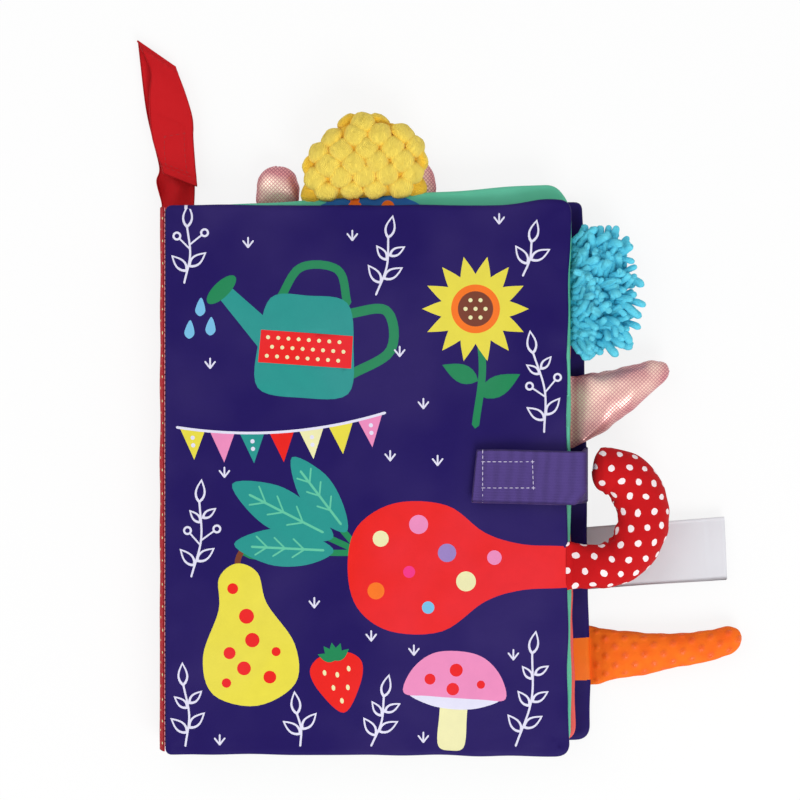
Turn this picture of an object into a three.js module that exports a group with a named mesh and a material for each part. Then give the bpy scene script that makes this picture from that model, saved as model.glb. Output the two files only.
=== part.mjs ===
// Crinkle cloth book with stuffed tails, lying closed on its back cover.
// Millimetres. +X runs from the bound edge to the fore edge, +Y to the top of the pages and +Z up
// out of the front cover. The origin is on the flat outside face of the back cover.
import * as THREE from 'three';

// Driving dimensions of the book
const page_height = 230;
const cover_bound_reach = 85;
const cover_fore_reach = 86;
const page_bound_peek = 0.95;
const page_fore_peek = 0.8;
const back_cover_top_peek = 3.8;
const back_cover_fore_top_peek = 6.5;
const back_cover_fore_bottom_peek = 10.2;
const back_cover_bottom_tuck = 2;
const leaf_3_top_peek = 1.2;
const leaf_3_fore_bottom_peek = 3.4;
const leaf_3_bottom_tuck = 3;
const leaf_2_top_peek = 0.5;
const leaf_2_top_rise = 10;
const leaf_2_bottom_tuck = 1.5;
const front_cover_top_peek = 0.9;
const front_cover_bottom_peek = 1.6;
const leaf_thickness = 6;
const leaf_gap = 0.4;
const cloth = 0.7;
const film = 0.3;
const touch_gap = 0.3;
const leaf_round = 24;
const fore_corner = 7;
const bound_corner = 2.5;

// Driving dimensions of the spine strip
const spine_cloth = 0.8;
const spine_bulge = 1.9;
const spine_end_gap = 0.2;

// Driving dimensions of the closure strap
const strap_width = 23;
const strap_cloth = 1.2;
const strap_flap_length = 46.5;
const strap_place = 1.5;
const strap_lean = 2;
const strap_root_drop = 1.2;
const strap_fold = 1.6;
const patch_cloth = 0.95;
const patch_length = 30;
const patch_width = 19;
const patch_from_fold = 12;

// Driving dimensions of the hanging strap
const hang_width = 18.5;
const hang_base_width = 13.5;
const hang_length = 61;
const hang_cloth = 0.9;
const hang_from_bound_edge = 3.5;
const hang_lean = 7.9;
const hang_skew = 6;
const hang_hem = 1.7;
const hang_hem_place = 9.5;
const hang_gutter = 2;
const hang_roll = 1.6;
const hang_patch_length = 15;
const hang_patch_width = 9;
const hang_patch_place = 21;

// Driving dimensions of the tag
const tag_length = 59;
const tag_width = 26.5;
const tag_cloth = 0.9;
const tag_place = 34.5;

// A tail is pressed flat to this height where it is sewn in
const tail_seam_depth = 2.6;

// Counts of flat steps
const corner_steps = 3;
const tail_sides = 12;
const curl_steps = 8;
const spine_steps = 6;
const fold_steps = 4;
const ply_steps = 4;

// Colours
const indigo = 0x2a1b63;
const coral = 0xeb645f;
const mint = 0x59bd9a;
const fibre_white = 0xf1efe8;
const purple = 0x503e82;
const strap_red = 0xc4151e;
const rose = 0xcd96a0;

const quarter_turn = Math.PI / 2;
const page_bound_reach = cover_bound_reach + page_bound_peek;
const page_fore_reach = cover_fore_reach + page_fore_peek;
const half_height = page_height / 2;
const half_leaf = leaf_thickness / 2;
const storey = leaf_thickness + leaf_gap;

// Middle height of leaf number 0, the back cover, up to number 3, the front cover
const leafMiddle = (number) => half_leaf + number * storey;

const group = new THREE.Group();

function place(name, geometry, color, roughness = 0.8, metalness = 0) {
  const material = new THREE.MeshStandardMaterial({ color, roughness, metalness });
  const mesh = new THREE.Mesh(geometry, material);
  mesh.name = name;
  group.add(mesh);
  return mesh;
}

function signedVolume(points, faces) {
  return faces.reduce((sum, [i, j, k]) => (
    sum + points[i].dot(points[j].clone().cross(points[k]))
  ), 0);
}

// Closed body through rings of Vector3 with one count, with a fan over the first and last ring
function skin(rings) {
  const count = rings[0].length;
  const points = rings.flat();
  const faces = [];
  for (let ring = 0; ring < rings.length - 1; ring += 1) {
    for (let side = 0; side < count; side += 1) {
      const here = ring * count + side;
      const next = ring * count + ((side + 1) % count);
      faces.push([here, next, next + count]);
      faces.push([here, next + count, here + count]);
    }
  }
  [0, rings.length - 1].forEach((ring) => {
    const centre = rings[ring].reduce((sum, p) => sum.add(p), new THREE.Vector3());
    const hub = points.push(centre.divideScalar(count)) - 1;
    for (let side = 0; side < count; side += 1) {
      const here = ring * count + side;
      const next = ring * count + ((side + 1) % count);
      faces.push(ring === 0 ? [next, here, hub] : [here, next, hub]);
    }
  });
  if (signedVolume(points, faces) < 0) faces.forEach((face) => face.reverse());
  const geometry = new THREE.BufferGeometry().setFromPoints(points);
  geometry.setIndex(faces.flat());
  geometry.computeVertexNormals();
  return geometry;
}

// The leaves from the bottom up, each with its reaches from the origin to the bound and the fore
// edge. A peek is how far an edge stands past its reach or past half the page height, a tuck how
// far it stays short of it, and a top rise lifts the top edge by shares of itself.
const leaves = {
  back_cover: {
    number: 0,
    bound: cover_bound_reach,
    fore: cover_fore_reach,
    fore_top_peek: back_cover_fore_top_peek,
    fore_bottom_peek: back_cover_fore_bottom_peek,
    top_peek: back_cover_top_peek,
    bottom_peek: -back_cover_bottom_tuck,
    top_rise: 0,
    above: { name: 'lining', color: indigo },
    below: { name: 'outer', color: indigo },
  },
  leaf_3: {
    number: 1,
    bound: page_bound_reach,
    fore: page_fore_reach,
    fore_top_peek: 0,
    fore_bottom_peek: leaf_3_fore_bottom_peek,
    top_peek: leaf_3_top_peek,
    bottom_peek: -leaf_3_bottom_tuck,
    top_rise: 0,
    above: { name: 'front_page', color: coral },
    below: { name: 'back_page', color: coral },
  },
  leaf_2: {
    number: 2,
    bound: page_bound_reach,
    fore: page_fore_reach,
    fore_top_peek: 0,
    fore_bottom_peek: 0,
    top_peek: leaf_2_top_peek,
    bottom_peek: -leaf_2_bottom_tuck,
    top_rise: leaf_2_top_rise,
    above: { name: 'front_page', color: mint },
    below: { name: 'back_page', color: mint },
  },
  front_cover: {
    number: 3,
    bound: cover_bound_reach,
    fore: cover_fore_reach,
    fore_top_peek: 0,
    fore_bottom_peek: 0,
    top_peek: front_cover_top_peek,
    bottom_peek: front_cover_bottom_peek,
    top_rise: 0,
    above: { name: 'outer', color: indigo },
    below: { name: 'lining', color: mint },
  },
};

// Share of the leaf's width from its bound edge, share of its top rise, share of the fore corner
const top_edge_shares = [[0.12, 0.06, 6], [0.62, 0.58, 6], [0.945, 1, 1]];

// Corners of a leaf, counter-clockwise from the bound edge at the bottom
function leafCorners(leaf) {
  const corner = (x, y, round) => ({ at: new THREE.Vector2(x, y), round });
  const low = -half_height - leaf.bottom_peek;
  const high = half_height + leaf.top_peek;
  const width = leaf.fore + leaf.bound;
  const raised = leaf.top_rise > 0 ? top_edge_shares : [];
  const fore_drop = leaf.top_rise * top_edge_shares[1][1];
  return [
    corner(-leaf.bound, low, bound_corner),
    corner(leaf.fore + leaf.fore_bottom_peek, low, fore_corner),
    corner(leaf.fore + leaf.fore_top_peek, high + fore_drop, fore_corner / 2),
    ...raised.map(([width_share, rise_share, round_share]) => corner(
      -leaf.bound + width * width_share,
      high + leaf.top_rise * rise_share,
      fore_corner * round_share / 2,
    )).reverse(),
    corner(-leaf.bound, high, bound_corner),
  ];
}

// Outline through corners, each rounded off by its own length
function roundedOutline(corners) {
  return corners.flatMap(({ at, round }, i) => {
    const before = corners[(i + corners.length - 1) % corners.length].at;
    const after = corners[(i + 1) % corners.length].at;
    const from = at.clone().add(before.clone().sub(at).setLength(round));
    const to = at.clone().add(after.clone().sub(at).setLength(round));
    return new THREE.QuadraticBezierCurve(from, at, to).getPoints(corner_steps);
  });
}

// The outline drawn in by a distance on every side, at a height
function drawnIn(outline, inset, height) {
  const box = new THREE.Box2().setFromPoints(outline);
  const middle = box.getCenter(new THREE.Vector2());
  const size = box.getSize(new THREE.Vector2());
  const across = 1 - (2 * inset) / size.x;
  const along = 1 - (2 * inset) / size.y;
  return outline.map((p) => new THREE.Vector3(
    middle.x + (p.x - middle.x) * across,
    middle.y + (p.y - middle.y) * along,
    height,
  ));
}

// Rise of a padded leaf from its seam to its flat middle: share of the rounded edge, then of the
// rise
const crown_shares = [[0, 0], [0.02, 0.5], [0.08, 0.78], [0.3, 0.94], [1, 1]];

function crownRings(outline, inset, middle, rise, way) {
  return crown_shares.map(([edge_share, rise_share]) => drawnIn(
    outline,
    inset + (leaf_round - inset) * edge_share,
    middle + way * rise * rise_share,
  ));
}

// One cloth panel of a leaf: a shallow tray with its rim on the seam
function clothPanel(outline, middle, way) {
  const outside = crownRings(outline, 0, middle, half_leaf, way).reverse();
  const inside = crownRings(outline, cloth, middle, half_leaf - cloth, way);
  return skin([...outside, ...inside]);
}

const film_top = half_leaf - cloth - touch_gap;
const wadding_top = film_top - film - touch_gap;
const wadding_inset = cloth + touch_gap;

function waddingPad(outline, middle) {
  const below = crownRings(outline, wadding_inset, middle, film_top, -1).reverse();
  const above = crownRings(outline, wadding_inset, middle, wadding_top, 1).slice(1);
  return skin([...below, ...above]);
}

function crinkleFilm(outline, middle) {
  const top = middle + film_top;
  return skin([drawnIn(outline, leaf_round, top - film), drawnIn(outline, leaf_round, top)]);
}

Object.entries(leaves).forEach(([name, leaf]) => {
  const outline = roundedOutline(leafCorners(leaf));
  const middle = leafMiddle(leaf.number);
  place(`${name}_${leaf.below.name}`, clothPanel(outline, middle, -1), leaf.below.color);
  place(`${name}_${leaf.above.name}`, clothPanel(outline, middle, 1), leaf.above.color);
  place(`${name}_wadding`, waddingPad(outline, middle), fibre_white, 0.95);
  place(`${name}_crinkle_film`, crinkleFilm(outline, middle), 0xe6e9ee, 0.3);
});

// A solid with its section in the XZ plane, given as Vector2(x, z), run along Y about a middle
function alongY(section, width, middle) {
  const shape = new THREE.Shape(section);
  const geometry = new THREE.ExtrudeGeometry(shape, { depth: width, bevelEnabled: false });
  return geometry.rotateX(quarter_turn).translate(0, middle + width / 2, 0);
}

// A band of even thickness about a centre line of Vector2
function band(line, thickness) {
  const offset = (way) => line.map((p, i) => {
    const before = line[Math.max(i - 1, 0)];
    const after = line[Math.min(i + 1, line.length - 1)];
    const run = after.clone().sub(before).setLength(thickness / 2);
    return new THREE.Vector2(p.x - way * run.y, p.y + way * run.x);
  });
  return [...offset(1), ...offset(-1).reverse()];
}

// Spine strip: bowed cloth from the seam of the back cover up to the seam of the front cover
function spineStrip() {
  const low = leafMiddle(0) + spine_end_gap;
  const high = leafMiddle(3) - spine_end_gap;
  const seam = -cover_bound_reach - touch_gap - spine_cloth / 2;
  const line = Array.from({ length: spine_steps + 1 }, (_, i) => {
    const share = i / spine_steps;
    const bow = spine_bulge * Math.sin(Math.PI * share);
    return new THREE.Vector2(seam - bow, THREE.MathUtils.lerp(low, high, share));
  });
  return alongY(band(line, spine_cloth), page_height, 0);
}

place('spine_strip', spineStrip(), 0xb5202a);

// Where a piece is sewn into an edge: the point just off the edge, and the turn that brings +X
// square out of it. The edge is found by a place along X for the top edge or Y for the fore edge.
function seatOn(leaf, axis, along) {
  const corners = leafCorners(leaf);
  const ends = corners.slice(1, -1).map((corner, i) => [corner.at, corners[i + 2].at]);
  const edges = axis === 'y' ? ends.slice(0, 1) : ends.slice(1);
  const [from, to] = edges.find((e) => along <= e[0][axis] && along >= e[1][axis]) ?? edges[0];
  const share = (along - from[axis]) / (to[axis] - from[axis]);
  const turn = Math.atan2(from.x - to.x, to.y - from.y);
  const out = new THREE.Vector2(touch_gap, 0).rotateAround(new THREE.Vector2(), turn);
  return { at: from.clone().lerp(to, share).add(out), turn, height: leafMiddle(leaf.number) };
}

function seat(mesh, { at, turn, height }) {
  mesh.position.set(at.x, at.y, height);
  mesh.rotation.z = turn;
}

// Closure strap. Its root is sewn into the fore edge of the back cover, it rises past the leaves
// and its flap lies on the patches of the front cover.
const strap_seat = seatOn(leaves.back_cover, 'y', strap_place);
const strap_root_x = strap_seat.at.x + strap_cloth / 2;
const strap_fold_x = strap_root_x - strap_lean;
const cover_top = leafMiddle(3) + half_leaf;
const loop_patch_low = cover_top + touch_gap;
const hook_patch_low = loop_patch_low + patch_cloth + touch_gap;
const flap_low = hook_patch_low + patch_cloth + touch_gap;
const flap_middle = flap_low + strap_cloth / 2;
const strap_wall_top = flap_middle - strap_fold - touch_gap;

const wall_line = [
  new THREE.Vector2(strap_root_x, leafMiddle(0) - strap_root_drop),
  new THREE.Vector2(strap_fold_x, strap_wall_top),
];
place(
  'closure_strap_wall',
  alongY(band(wall_line, strap_cloth), strap_width, strap_place),
  purple,
);

const fold_line = new THREE.EllipseCurve(
  strap_fold_x - strap_fold, flap_middle - strap_fold, strap_fold, strap_fold, 0, quarter_turn,
).getPoints(fold_steps);
const flap_line = [
  ...fold_line,
  new THREE.Vector2(strap_fold_x - strap_flap_length, flap_middle),
];
place(
  'closure_strap_flap',
  alongY(band(flap_line, strap_cloth), strap_width, strap_place),
  purple,
);

function closurePatch(name, low) {
  const patch = new THREE.BoxGeometry(patch_length, patch_width, patch_cloth);
  const x = strap_fold_x - patch_from_fold - patch_length / 2;
  place(name, patch, 0x5d4b90, 0.9).position.set(x, strap_place, low + patch_cloth / 2);
}

closurePatch('closure_loop_patch', loop_patch_low);
closurePatch('closure_hook_patch', hook_patch_low);

// Hanging strap, in a frame with its sewn end at zero and its length along +X
const ply_low = -hang_cloth / 2;
const hang_loop_low = ply_low + hang_cloth + touch_gap;
const hang_hook_low = hang_loop_low + patch_cloth + touch_gap;
const front_ply_low = hang_hook_low + patch_cloth + touch_gap;

// One cross-section of the strap: a thin curved bar across Y, its ends drawn along X by the skew
function plyRing({ along, width, skew = 0, gutter = 0, low, high }) {
  const across = Array.from({ length: ply_steps + 1 }, (_, i) => (2 * i) / ply_steps - 1);
  const row = (height) => across.map((share) => new THREE.Vector3(
    along + skew * share,
    width * share / 2,
    height + gutter * share * share,
  ));
  return [...row(high), ...row(low).reverse()];
}

// Shares of the strap's length, of its full width beyond its base width, and of its gutter
const back_ply_shares = [
  [0, 0, 0], [0.05, 0.1, 1], [0.1, 0.45, 0.8], [0.17, 0.8, 0], [0.5, 1, 0], [1, 1, 0],
];
const widthAt = (share) => THREE.MathUtils.lerp(hang_base_width, hang_width, share);

const back_ply = back_ply_shares.map(([length_share, width_share, gutter_share]) => plyRing({
  along: hang_length * length_share,
  width: widthAt(width_share),
  skew: length_share === 1 ? hang_skew : 0,
  gutter: hang_gutter * gutter_share,
  low: ply_low,
  high: ply_low + hang_cloth,
}));

const flat_share = 0.8;
const fold_along = hang_length + touch_gap;
const front_high = front_ply_low + hang_cloth;
const front_ply = [
  { along: hang_hem_place, high: front_ply_low + hang_hem },
  { along: hang_hem_place + hang_hem, high: front_ply_low + hang_hem },
  { along: hang_hem_place + hang_hem * 2, high: front_high },
  { along: hang_length * flat_share, high: front_high },
  { along: hang_length, high: front_high, skew: hang_skew },
  { along: fold_along, high: front_high, skew: hang_skew, low: ply_low },
  { along: fold_along + hang_roll, high: hang_hook_low, skew: hang_skew, low: hang_loop_low },
].map((ring) => plyRing({ low: front_ply_low, width: hang_width, ...ring }));

const hang_place = hang_from_bound_edge - cover_bound_reach;
const hang_seat = seatOn(leaves.back_cover, 'x', hang_place);
hang_seat.turn += Math.atan2(hang_lean, hang_length);

function hangingPatch(name, low) {
  const patch = new THREE.BoxGeometry(hang_patch_length, hang_patch_width, patch_cloth);
  patch.translate(hang_patch_place, 0, low + patch_cloth / 2);
  seat(place(name, patch, 0xa01018, 0.9), hang_seat);
}

seat(place('hanging_strap_back_ply', skin(back_ply), strap_red), hang_seat);
seat(place('hanging_strap_front_ply', skin(front_ply), strap_red), hang_seat);
hangingPatch('hanging_strap_loop_patch', hang_loop_low);
hangingPatch('hanging_strap_hook_patch', hang_hook_low);

// Tag: a folded satin label in the fore edge of the back cover
const tag = new THREE.BoxGeometry(tag_length, tag_width, tag_cloth);
tag.translate(tag_length / 2, 0, 0);
seat(place('tag', tag, 0xe1dce4, 0.45), seatOn(leaves.back_cover, 'y', -tag_place));

// A stuffed tail is a row of oval sections: { centre, across, half_breadth, half_depth }, with
// across the level direction of the breadth. The first is at the seam and the last at the tip.
function ovalRing({ centre, across, half_breadth, half_depth }, wall) {
  return Array.from({ length: tail_sides }, (_, i) => {
    const angle = (i / tail_sides) * 2 * Math.PI;
    const point = centre.clone().addScaledVector(across, (half_breadth - wall) * Math.cos(angle));
    point.z += (half_depth - wall) * Math.sin(angle);
    return point;
  });
}

function stuffedTail(name, sections, seam, color, roughness, metalness) {
  const hollow = sections.filter((s) => Math.min(s.half_breadth, s.half_depth) > 2 * cloth);
  const outside = sections.map((s) => ovalRing(s, 0)).reverse();
  const inside = hollow.map((s) => ovalRing(s, cloth));
  const filling = hollow.slice(0, -1).map((s) => ovalRing(s, cloth + touch_gap));
  seat(place(`${name}_cloth`, skin([...outside, ...inside]), color, roughness, metalness), seam);
  seat(place(`${name}_stuffing`, skin(filling), fibre_white, 0.95), seam);
}

// Sections of a tail that runs straight out of its seam, from rows of shares: out of its reach,
// aside of its breadth, up of its depth, then its breadth and its depth there. The depth at the
// seam itself is the pressed height. A seam offset is the seam's place from the origin along its
// edge.
function straightSections({ reach, breadth, depth, form_shares }) {
  return form_shares.map(([out, aside, up, breadth_share, depth_share]) => ({
    centre: new THREE.Vector3(reach * out, breadth * aside, depth * up),
    across: new THREE.Vector3(0, 1, 0),
    half_breadth: breadth * breadth_share / 2,
    half_depth: out === 0 ? tail_seam_depth / 2 : depth * depth_share / 2,
  }));
}

const straight_tails = {
  yellow_tail: {
    leaf: leaves.leaf_2,
    axis: 'x',
    seam_offset: -1,
    reach: 35,
    breadth: 52.6,
    depth: 13,
    color: 0xf0d652,
    form_shares: [
      [0, 0, 0, 0.93, 0.34], [0.13, 0, 0.2, 0.99, 0.72], [0.35, -0.02, 0.36, 1, 0.98],
      [0.55, -0.05, 0.38, 0.88, 1], [0.76, -0.03, 0.38, 0.56, 0.9], [0.92, 0.01, 0.38, 0.33, 0.66],
      [0.985, 0.02, 0.38, 0.18, 0.36], [1, 0.02, 0.38, 0.06, 0.12],
    ],
  },
  blue_tail: {
    leaf: leaves.leaf_2,
    axis: 'y',
    seam_offset: 79.5,
    reach: 31,
    breadth: 56,
    depth: 17,
    color: 0x50b9cd,
    form_shares: [
      [0, 0, 0, 0.88, 0.27], [0.16, 0, 0, 0.96, 0.66], [0.4, 0, 0, 1, 0.96], [0.62, 0, 0, 0.96, 1],
      [0.82, -0.01, 0, 0.82, 0.86], [0.94, -0.02, 0, 0.6, 0.6], [0.985, -0.02, 0, 0.36, 0.32],
      [1, -0.02, 0, 0.14, 0.12],
    ],
  },
  pink_tail: {
    leaf: leaves.leaf_3,
    axis: 'y',
    seam_offset: 29,
    reach: 41,
    breadth: 30,
    depth: 16.5,
    color: rose,
    roughness: 0.35,
    metalness: 0.4,
    form_shares: [
      [0, 0, 0, 1, 0.27], [0.12, 0.04, 0, 0.97, 0.5], [0.32, 0.12, 0, 0.88, 0.93],
      [0.55, 0.27, 0, 0.7, 1], [0.77, 0.43, 0, 0.5, 0.78], [0.92, 0.52, 0, 0.32, 0.5],
      [0.985, 0.55, 0, 0.18, 0.28], [1, 0.56, 0, 0.06, 0.1],
    ],
  },
  top_stub_left: {
    leaf: leaves.leaf_3,
    axis: 'x',
    seam_offset: -38.2,
    reach: 17.2,
    breadth: 19,
    depth: 11,
    color: rose,
    roughness: 0.35,
    metalness: 0.4,
    form_shares: [
      [0, 0, 0, 0.96, 0.38], [0.22, 0, -0.06, 1, 0.72], [0.5, 0, -0.1, 0.96, 0.98],
      [0.75, 0, -0.1, 0.8, 0.86], [0.92, 0, -0.1, 0.5, 0.54], [0.985, 0, -0.1, 0.28, 0.26],
      [1, 0, -0.1, 0.1, 0.1],
    ],
  },
  top_stub_right: {
    leaf: leaves.leaf_3,
    axis: 'x',
    seam_offset: 20.2,
    reach: 20.4,
    breadth: 19.6,
    depth: 11,
    color: rose,
    roughness: 0.35,
    metalness: 0.4,
    form_shares: [
      [0, 0, 0, 0.96, 0.38], [0.18, 0, -0.08, 1, 0.7], [0.45, 0, -0.16, 0.98, 0.92],
      [0.72, 0, -0.16, 0.82, 0.84], [0.91, 0, -0.16, 0.52, 0.54], [0.985, 0, -0.16, 0.28, 0.26],
      [1, 0, -0.16, 0.1, 0.1],
    ],
  },
  orange_tail: {
    leaf: leaves.back_cover,
    axis: 'y',
    seam_offset: -76.5,
    reach: 65,
    breadth: 26.2,
    depth: 11,
    color: 0xf5731c,
    form_shares: [
      [0, 0, 0, 1, 0.4], [0.08, 0.01, 0.12, 0.88, 0.68], [0.27, 0.03, 0.3, 0.74, 1],
      [0.55, 0.06, 0.32, 0.56, 1], [0.8, 0.16, 0.3, 0.52, 0.94], [0.92, 0.22, 0.28, 0.44, 0.78],
      [0.98, 0.25, 0.26, 0.26, 0.42], [1, 0.26, 0.26, 0.08, 0.12],
    ],
  },
};

Object.entries(straight_tails).forEach(([name, tail]) => {
  const seam = seatOn(tail.leaf, tail.axis, tail.seam_offset);
  stuffedTail(name, straightSections(tail), seam, tail.color, tail.roughness, tail.metalness);
});

// Red dotted tail: it leaves the front cover, curls round half an ellipse and ends in a tip
// beside the closure strap
const red_tail = {
  seam_offset: -36.6,
  breadth: 20.4,
  depth: 19.2,
  run: 13.9,
  curl_reach: 17,
  curl_rise: 20.6,
  tip: 5,
  run_shares: [[0, 1, 0.24], [0.3, 0.98, 0.56], [0.65, 0.96, 0.86]],
  curl_swell_shares: [0.96, 0.97, 0.98, 1, 1.03, 1, 0.96, 0.91, 0.84],
  tip_shares: [[0.5, 0.66, 0.66], [0.85, 0.38, 0.36], [1, 0.12, 0.12]],
};

function curledSections(tail) {
  const section = (x, y, heading, breadth_share, depth_share) => ({
    centre: new THREE.Vector3(x, y, 0),
    across: new THREE.Vector3(-Math.sin(heading), Math.cos(heading), 0),
    half_breadth: tail.breadth * breadth_share / 2,
    half_depth: x === 0 ? tail_seam_depth / 2 : tail.depth * depth_share / 2,
  });
  const run = tail.run_shares.map(([out, breadth_share, depth_share]) => (
    section(tail.run * out, 0, 0, breadth_share, depth_share)
  ));
  const curl = tail.curl_swell_shares.map((swell, i) => {
    const angle = -quarter_turn + (i / curl_steps) * Math.PI;
    const x = tail.run + tail.curl_reach * Math.cos(angle);
    const y = tail.curl_rise * (1 + Math.sin(angle));
    const heading = Math.atan2(
      tail.curl_rise * Math.cos(angle),
      -tail.curl_reach * Math.sin(angle),
    );
    return section(x, y, heading, swell, swell);
  });
  const tip = tail.tip_shares.map(([out, breadth_share, depth_share]) => (
    section(tail.run - tail.tip * out, 2 * tail.curl_rise, Math.PI, breadth_share, depth_share)
  ));
  return [...run, ...curl, ...tip];
}

stuffedTail(
  'red_tail',
  curledSections(red_tail),
  seatOn(leaves.front_cover, 'y', red_tail.seam_offset),
  0xc8191e,
);

export default group;
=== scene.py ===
"""Crinkle cloth book with stuffed tails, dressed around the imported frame.

Shapes are worked out in millimetres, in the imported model's frame, and become metres when they are
made into meshes. +X runs to the fore edge, +Y to the top of the pages and +Z out of the front.
"""
import math

import bpy
import numpy as np
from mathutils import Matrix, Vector, geometry


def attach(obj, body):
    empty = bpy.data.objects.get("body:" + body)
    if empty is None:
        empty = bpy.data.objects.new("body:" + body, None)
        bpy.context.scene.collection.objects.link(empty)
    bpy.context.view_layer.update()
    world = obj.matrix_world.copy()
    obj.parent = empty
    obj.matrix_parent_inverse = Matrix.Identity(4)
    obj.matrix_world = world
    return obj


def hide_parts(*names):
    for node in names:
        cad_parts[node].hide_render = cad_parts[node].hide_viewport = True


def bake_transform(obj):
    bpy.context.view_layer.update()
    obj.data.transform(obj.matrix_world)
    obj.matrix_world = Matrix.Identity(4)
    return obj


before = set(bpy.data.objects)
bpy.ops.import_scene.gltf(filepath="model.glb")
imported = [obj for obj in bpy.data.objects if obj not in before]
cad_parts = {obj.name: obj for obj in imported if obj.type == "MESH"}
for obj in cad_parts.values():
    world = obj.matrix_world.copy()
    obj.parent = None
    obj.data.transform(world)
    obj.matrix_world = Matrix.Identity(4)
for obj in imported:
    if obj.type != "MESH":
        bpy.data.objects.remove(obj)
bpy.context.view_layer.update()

MM = 0.001
TAU = 2 * math.pi
WHITE = (1, 1, 1, 1)


# Nodes and materials


class Link:
    """An output of a node tree that can stand in a sum or a product."""

    def __init__(self, nodes, socket):
        self.nodes, self.socket = nodes, socket

    def maths(self, operation, *others):
        return self.nodes.add("ShaderNodeMath", {"operation": operation}, [self, *others])

    def clipped(self):
        return self.maths("MINIMUM", 1.0).maths("MAXIMUM", 0.0)

    def __rsub__(self, other):
        return self * -1.0 + other


def operator(operation):
    return lambda link, other: link.maths(operation, other)


for sign, operation in {"add": "ADD", "radd": "ADD", "sub": "SUBTRACT", "mul": "MULTIPLY",
                        "rmul": "MULTIPLY", "truediv": "DIVIDE", "lt": "LESS_THAN"}.items():
    setattr(Link, f"__{sign}__", operator(operation))


class Nodes:
    """Adds nodes to a shader tree or a geometry tree."""

    def __init__(self, tree):
        self.tree = tree

    def add(self, kind, settings=None, inputs=(), output=0):
        """A node with its settings, then its inputs by number or by name."""
        node = self.tree.nodes.new(kind)
        for name, value in (settings or {}).items():
            setattr(node, name, value)
        for key, value in inputs.items() if isinstance(inputs, dict) else enumerate(inputs):
            if isinstance(value, Link):
                self.tree.links.new(value.socket, node.inputs[key])
            else:
                node.inputs[key].default_value = value
        return Link(self, node.outputs[output]) if node.outputs else None

    def mix(self, share, first, second, blend="MIX"):
        """A colour between two colours, or the first one tinted by the second."""
        settings = {"data_type": "RGBA", "blend_type": blend}
        return self.add("ShaderNodeMix", settings, {0: share, 6: first, 7: second}, output=2)


def nodes_of(owner):
    """The emptied node tree of a material or a world."""
    owner.use_nodes = True
    owner.node_tree.nodes.clear()
    return Nodes(owner.node_tree)


def linear(*screen):
    """A screen colour, 0 to 255, as the linear colour that renders as it."""
    shares = [value / 255 for value in screen]
    return *(s / 12.92 if s <= 0.04045 else ((s + 0.055) / 1.055) ** 2.4 for s in shares), 1.0


def darker(color, share):
    return *(channel * share for channel in color[:3]), 1.0


COLORS = {name: linear(*screen) for name, screen in {
    "indigo": (27, 10, 88), "mint": (98, 196, 160), "coral": (236, 98, 92), "red": (232, 33, 27),
    "yellow": (230, 217, 70), "teal": (38, 147, 139), "pink": (234, 140, 186),
    "hot_pink": (240, 52, 130), "green": (30, 132, 82), "blue": (38, 104, 172),
    "sky": (120, 190, 226), "orange": (246, 118, 26), "cream": (236, 232, 176),
    "lilac": (152, 128, 190), "white": (226, 224, 242), "brown": (120, 62, 40),
}.items()}


class Cloth:
    """A cloth material: what varies is built on it, and then it is finished."""

    def __init__(self, name):
        self.material = bpy.data.materials.new(name)
        self.nodes = nodes_of(self.material)

    def uv(self, axis):
        """How far along the cloth a point lies, in millimetres, across (0) or along (1)."""
        uv = self.nodes.add("ShaderNodeUVMap", {"uv_map": "cloth"})
        return self.nodes.add("ShaderNodeSeparateXYZ", inputs=[uv], output=axis) / MM

    def attribute(self, name, output=2):
        return self.nodes.add("ShaderNodeAttribute", {"attribute_name": name}, output=output)

    def noise(self, size, detail):
        """Cloudy noise from 0 to 1, with spots of a size in millimetres."""
        place = self.nodes.add("ShaderNodeTexCoord", output=3)
        inputs = {"Vector": place, "Scale": 1 / (size * MM), "Detail": detail}
        return self.nodes.add("ShaderNodeTexNoise", inputs=inputs)

    def mottled(self, color, size, detail, share, dark):
        """A colour with clouds of a darker one."""
        return self.nodes.mix(self.noise(size, detail) * share, color, darker(color, dark))

    def wave(self, along, pitch):
        """A sine of a length, from -1 to 1, once every pitch."""
        return (along * (TAU / pitch)).maths("SINE")

    def weave(self, pitch):
        """The over and under of a plain weave, on the cloth's own lengths."""
        return self.wave(self.uv(0), pitch) * self.wave(self.uv(1), pitch)

    def finish(self, color, height, depth, roughness, **constants):
        """Closes the material: a bump of a height field, its depth in millimetres."""
        bump = {"Strength": 1.0, "Distance": depth * MM, "Height": height}
        inputs = {"Base Color": color, "Roughness": roughness,
                  "Normal": self.nodes.add("ShaderNodeBump", inputs=bump)}
        inputs.update({name.replace("_", " "): value for name, value in constants.items()})
        shader = self.nodes.add("ShaderNodeBsdfPrincipled", inputs=inputs)
        self.nodes.add("ShaderNodeOutputMaterial", inputs=[shader])
        return self.material


def printed_cloth(name):
    """Smooth printed polyester: the print is an attribute of the mesh."""
    cloth = Cloth(name)
    # Painted highlight: soft pale violet patches of light over the print, in broad clouds.
    glow = ((cloth.noise(48, 2) - 0.42) * 4.0).clipped() * 0.02
    color = cloth.nodes.mix(glow, cloth.attribute("print", output=0), (0.62, 0.45, 1, 1))
    shade = cloth.nodes.mix(cloth.noise(6, 3) * 0.5, color, (0.78, 0.78, 0.84, 1), "MULTIPLY")
    height = cloth.noise(11, 3) * 0.85 + cloth.noise(0.7, 1) * 0.15
    roughness = cloth.noise(34, 4) * 0.12 + 0.5
    return cloth.finish(shade, height, 0.3, roughness, Specular_IOR_Level=0.12)


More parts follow.
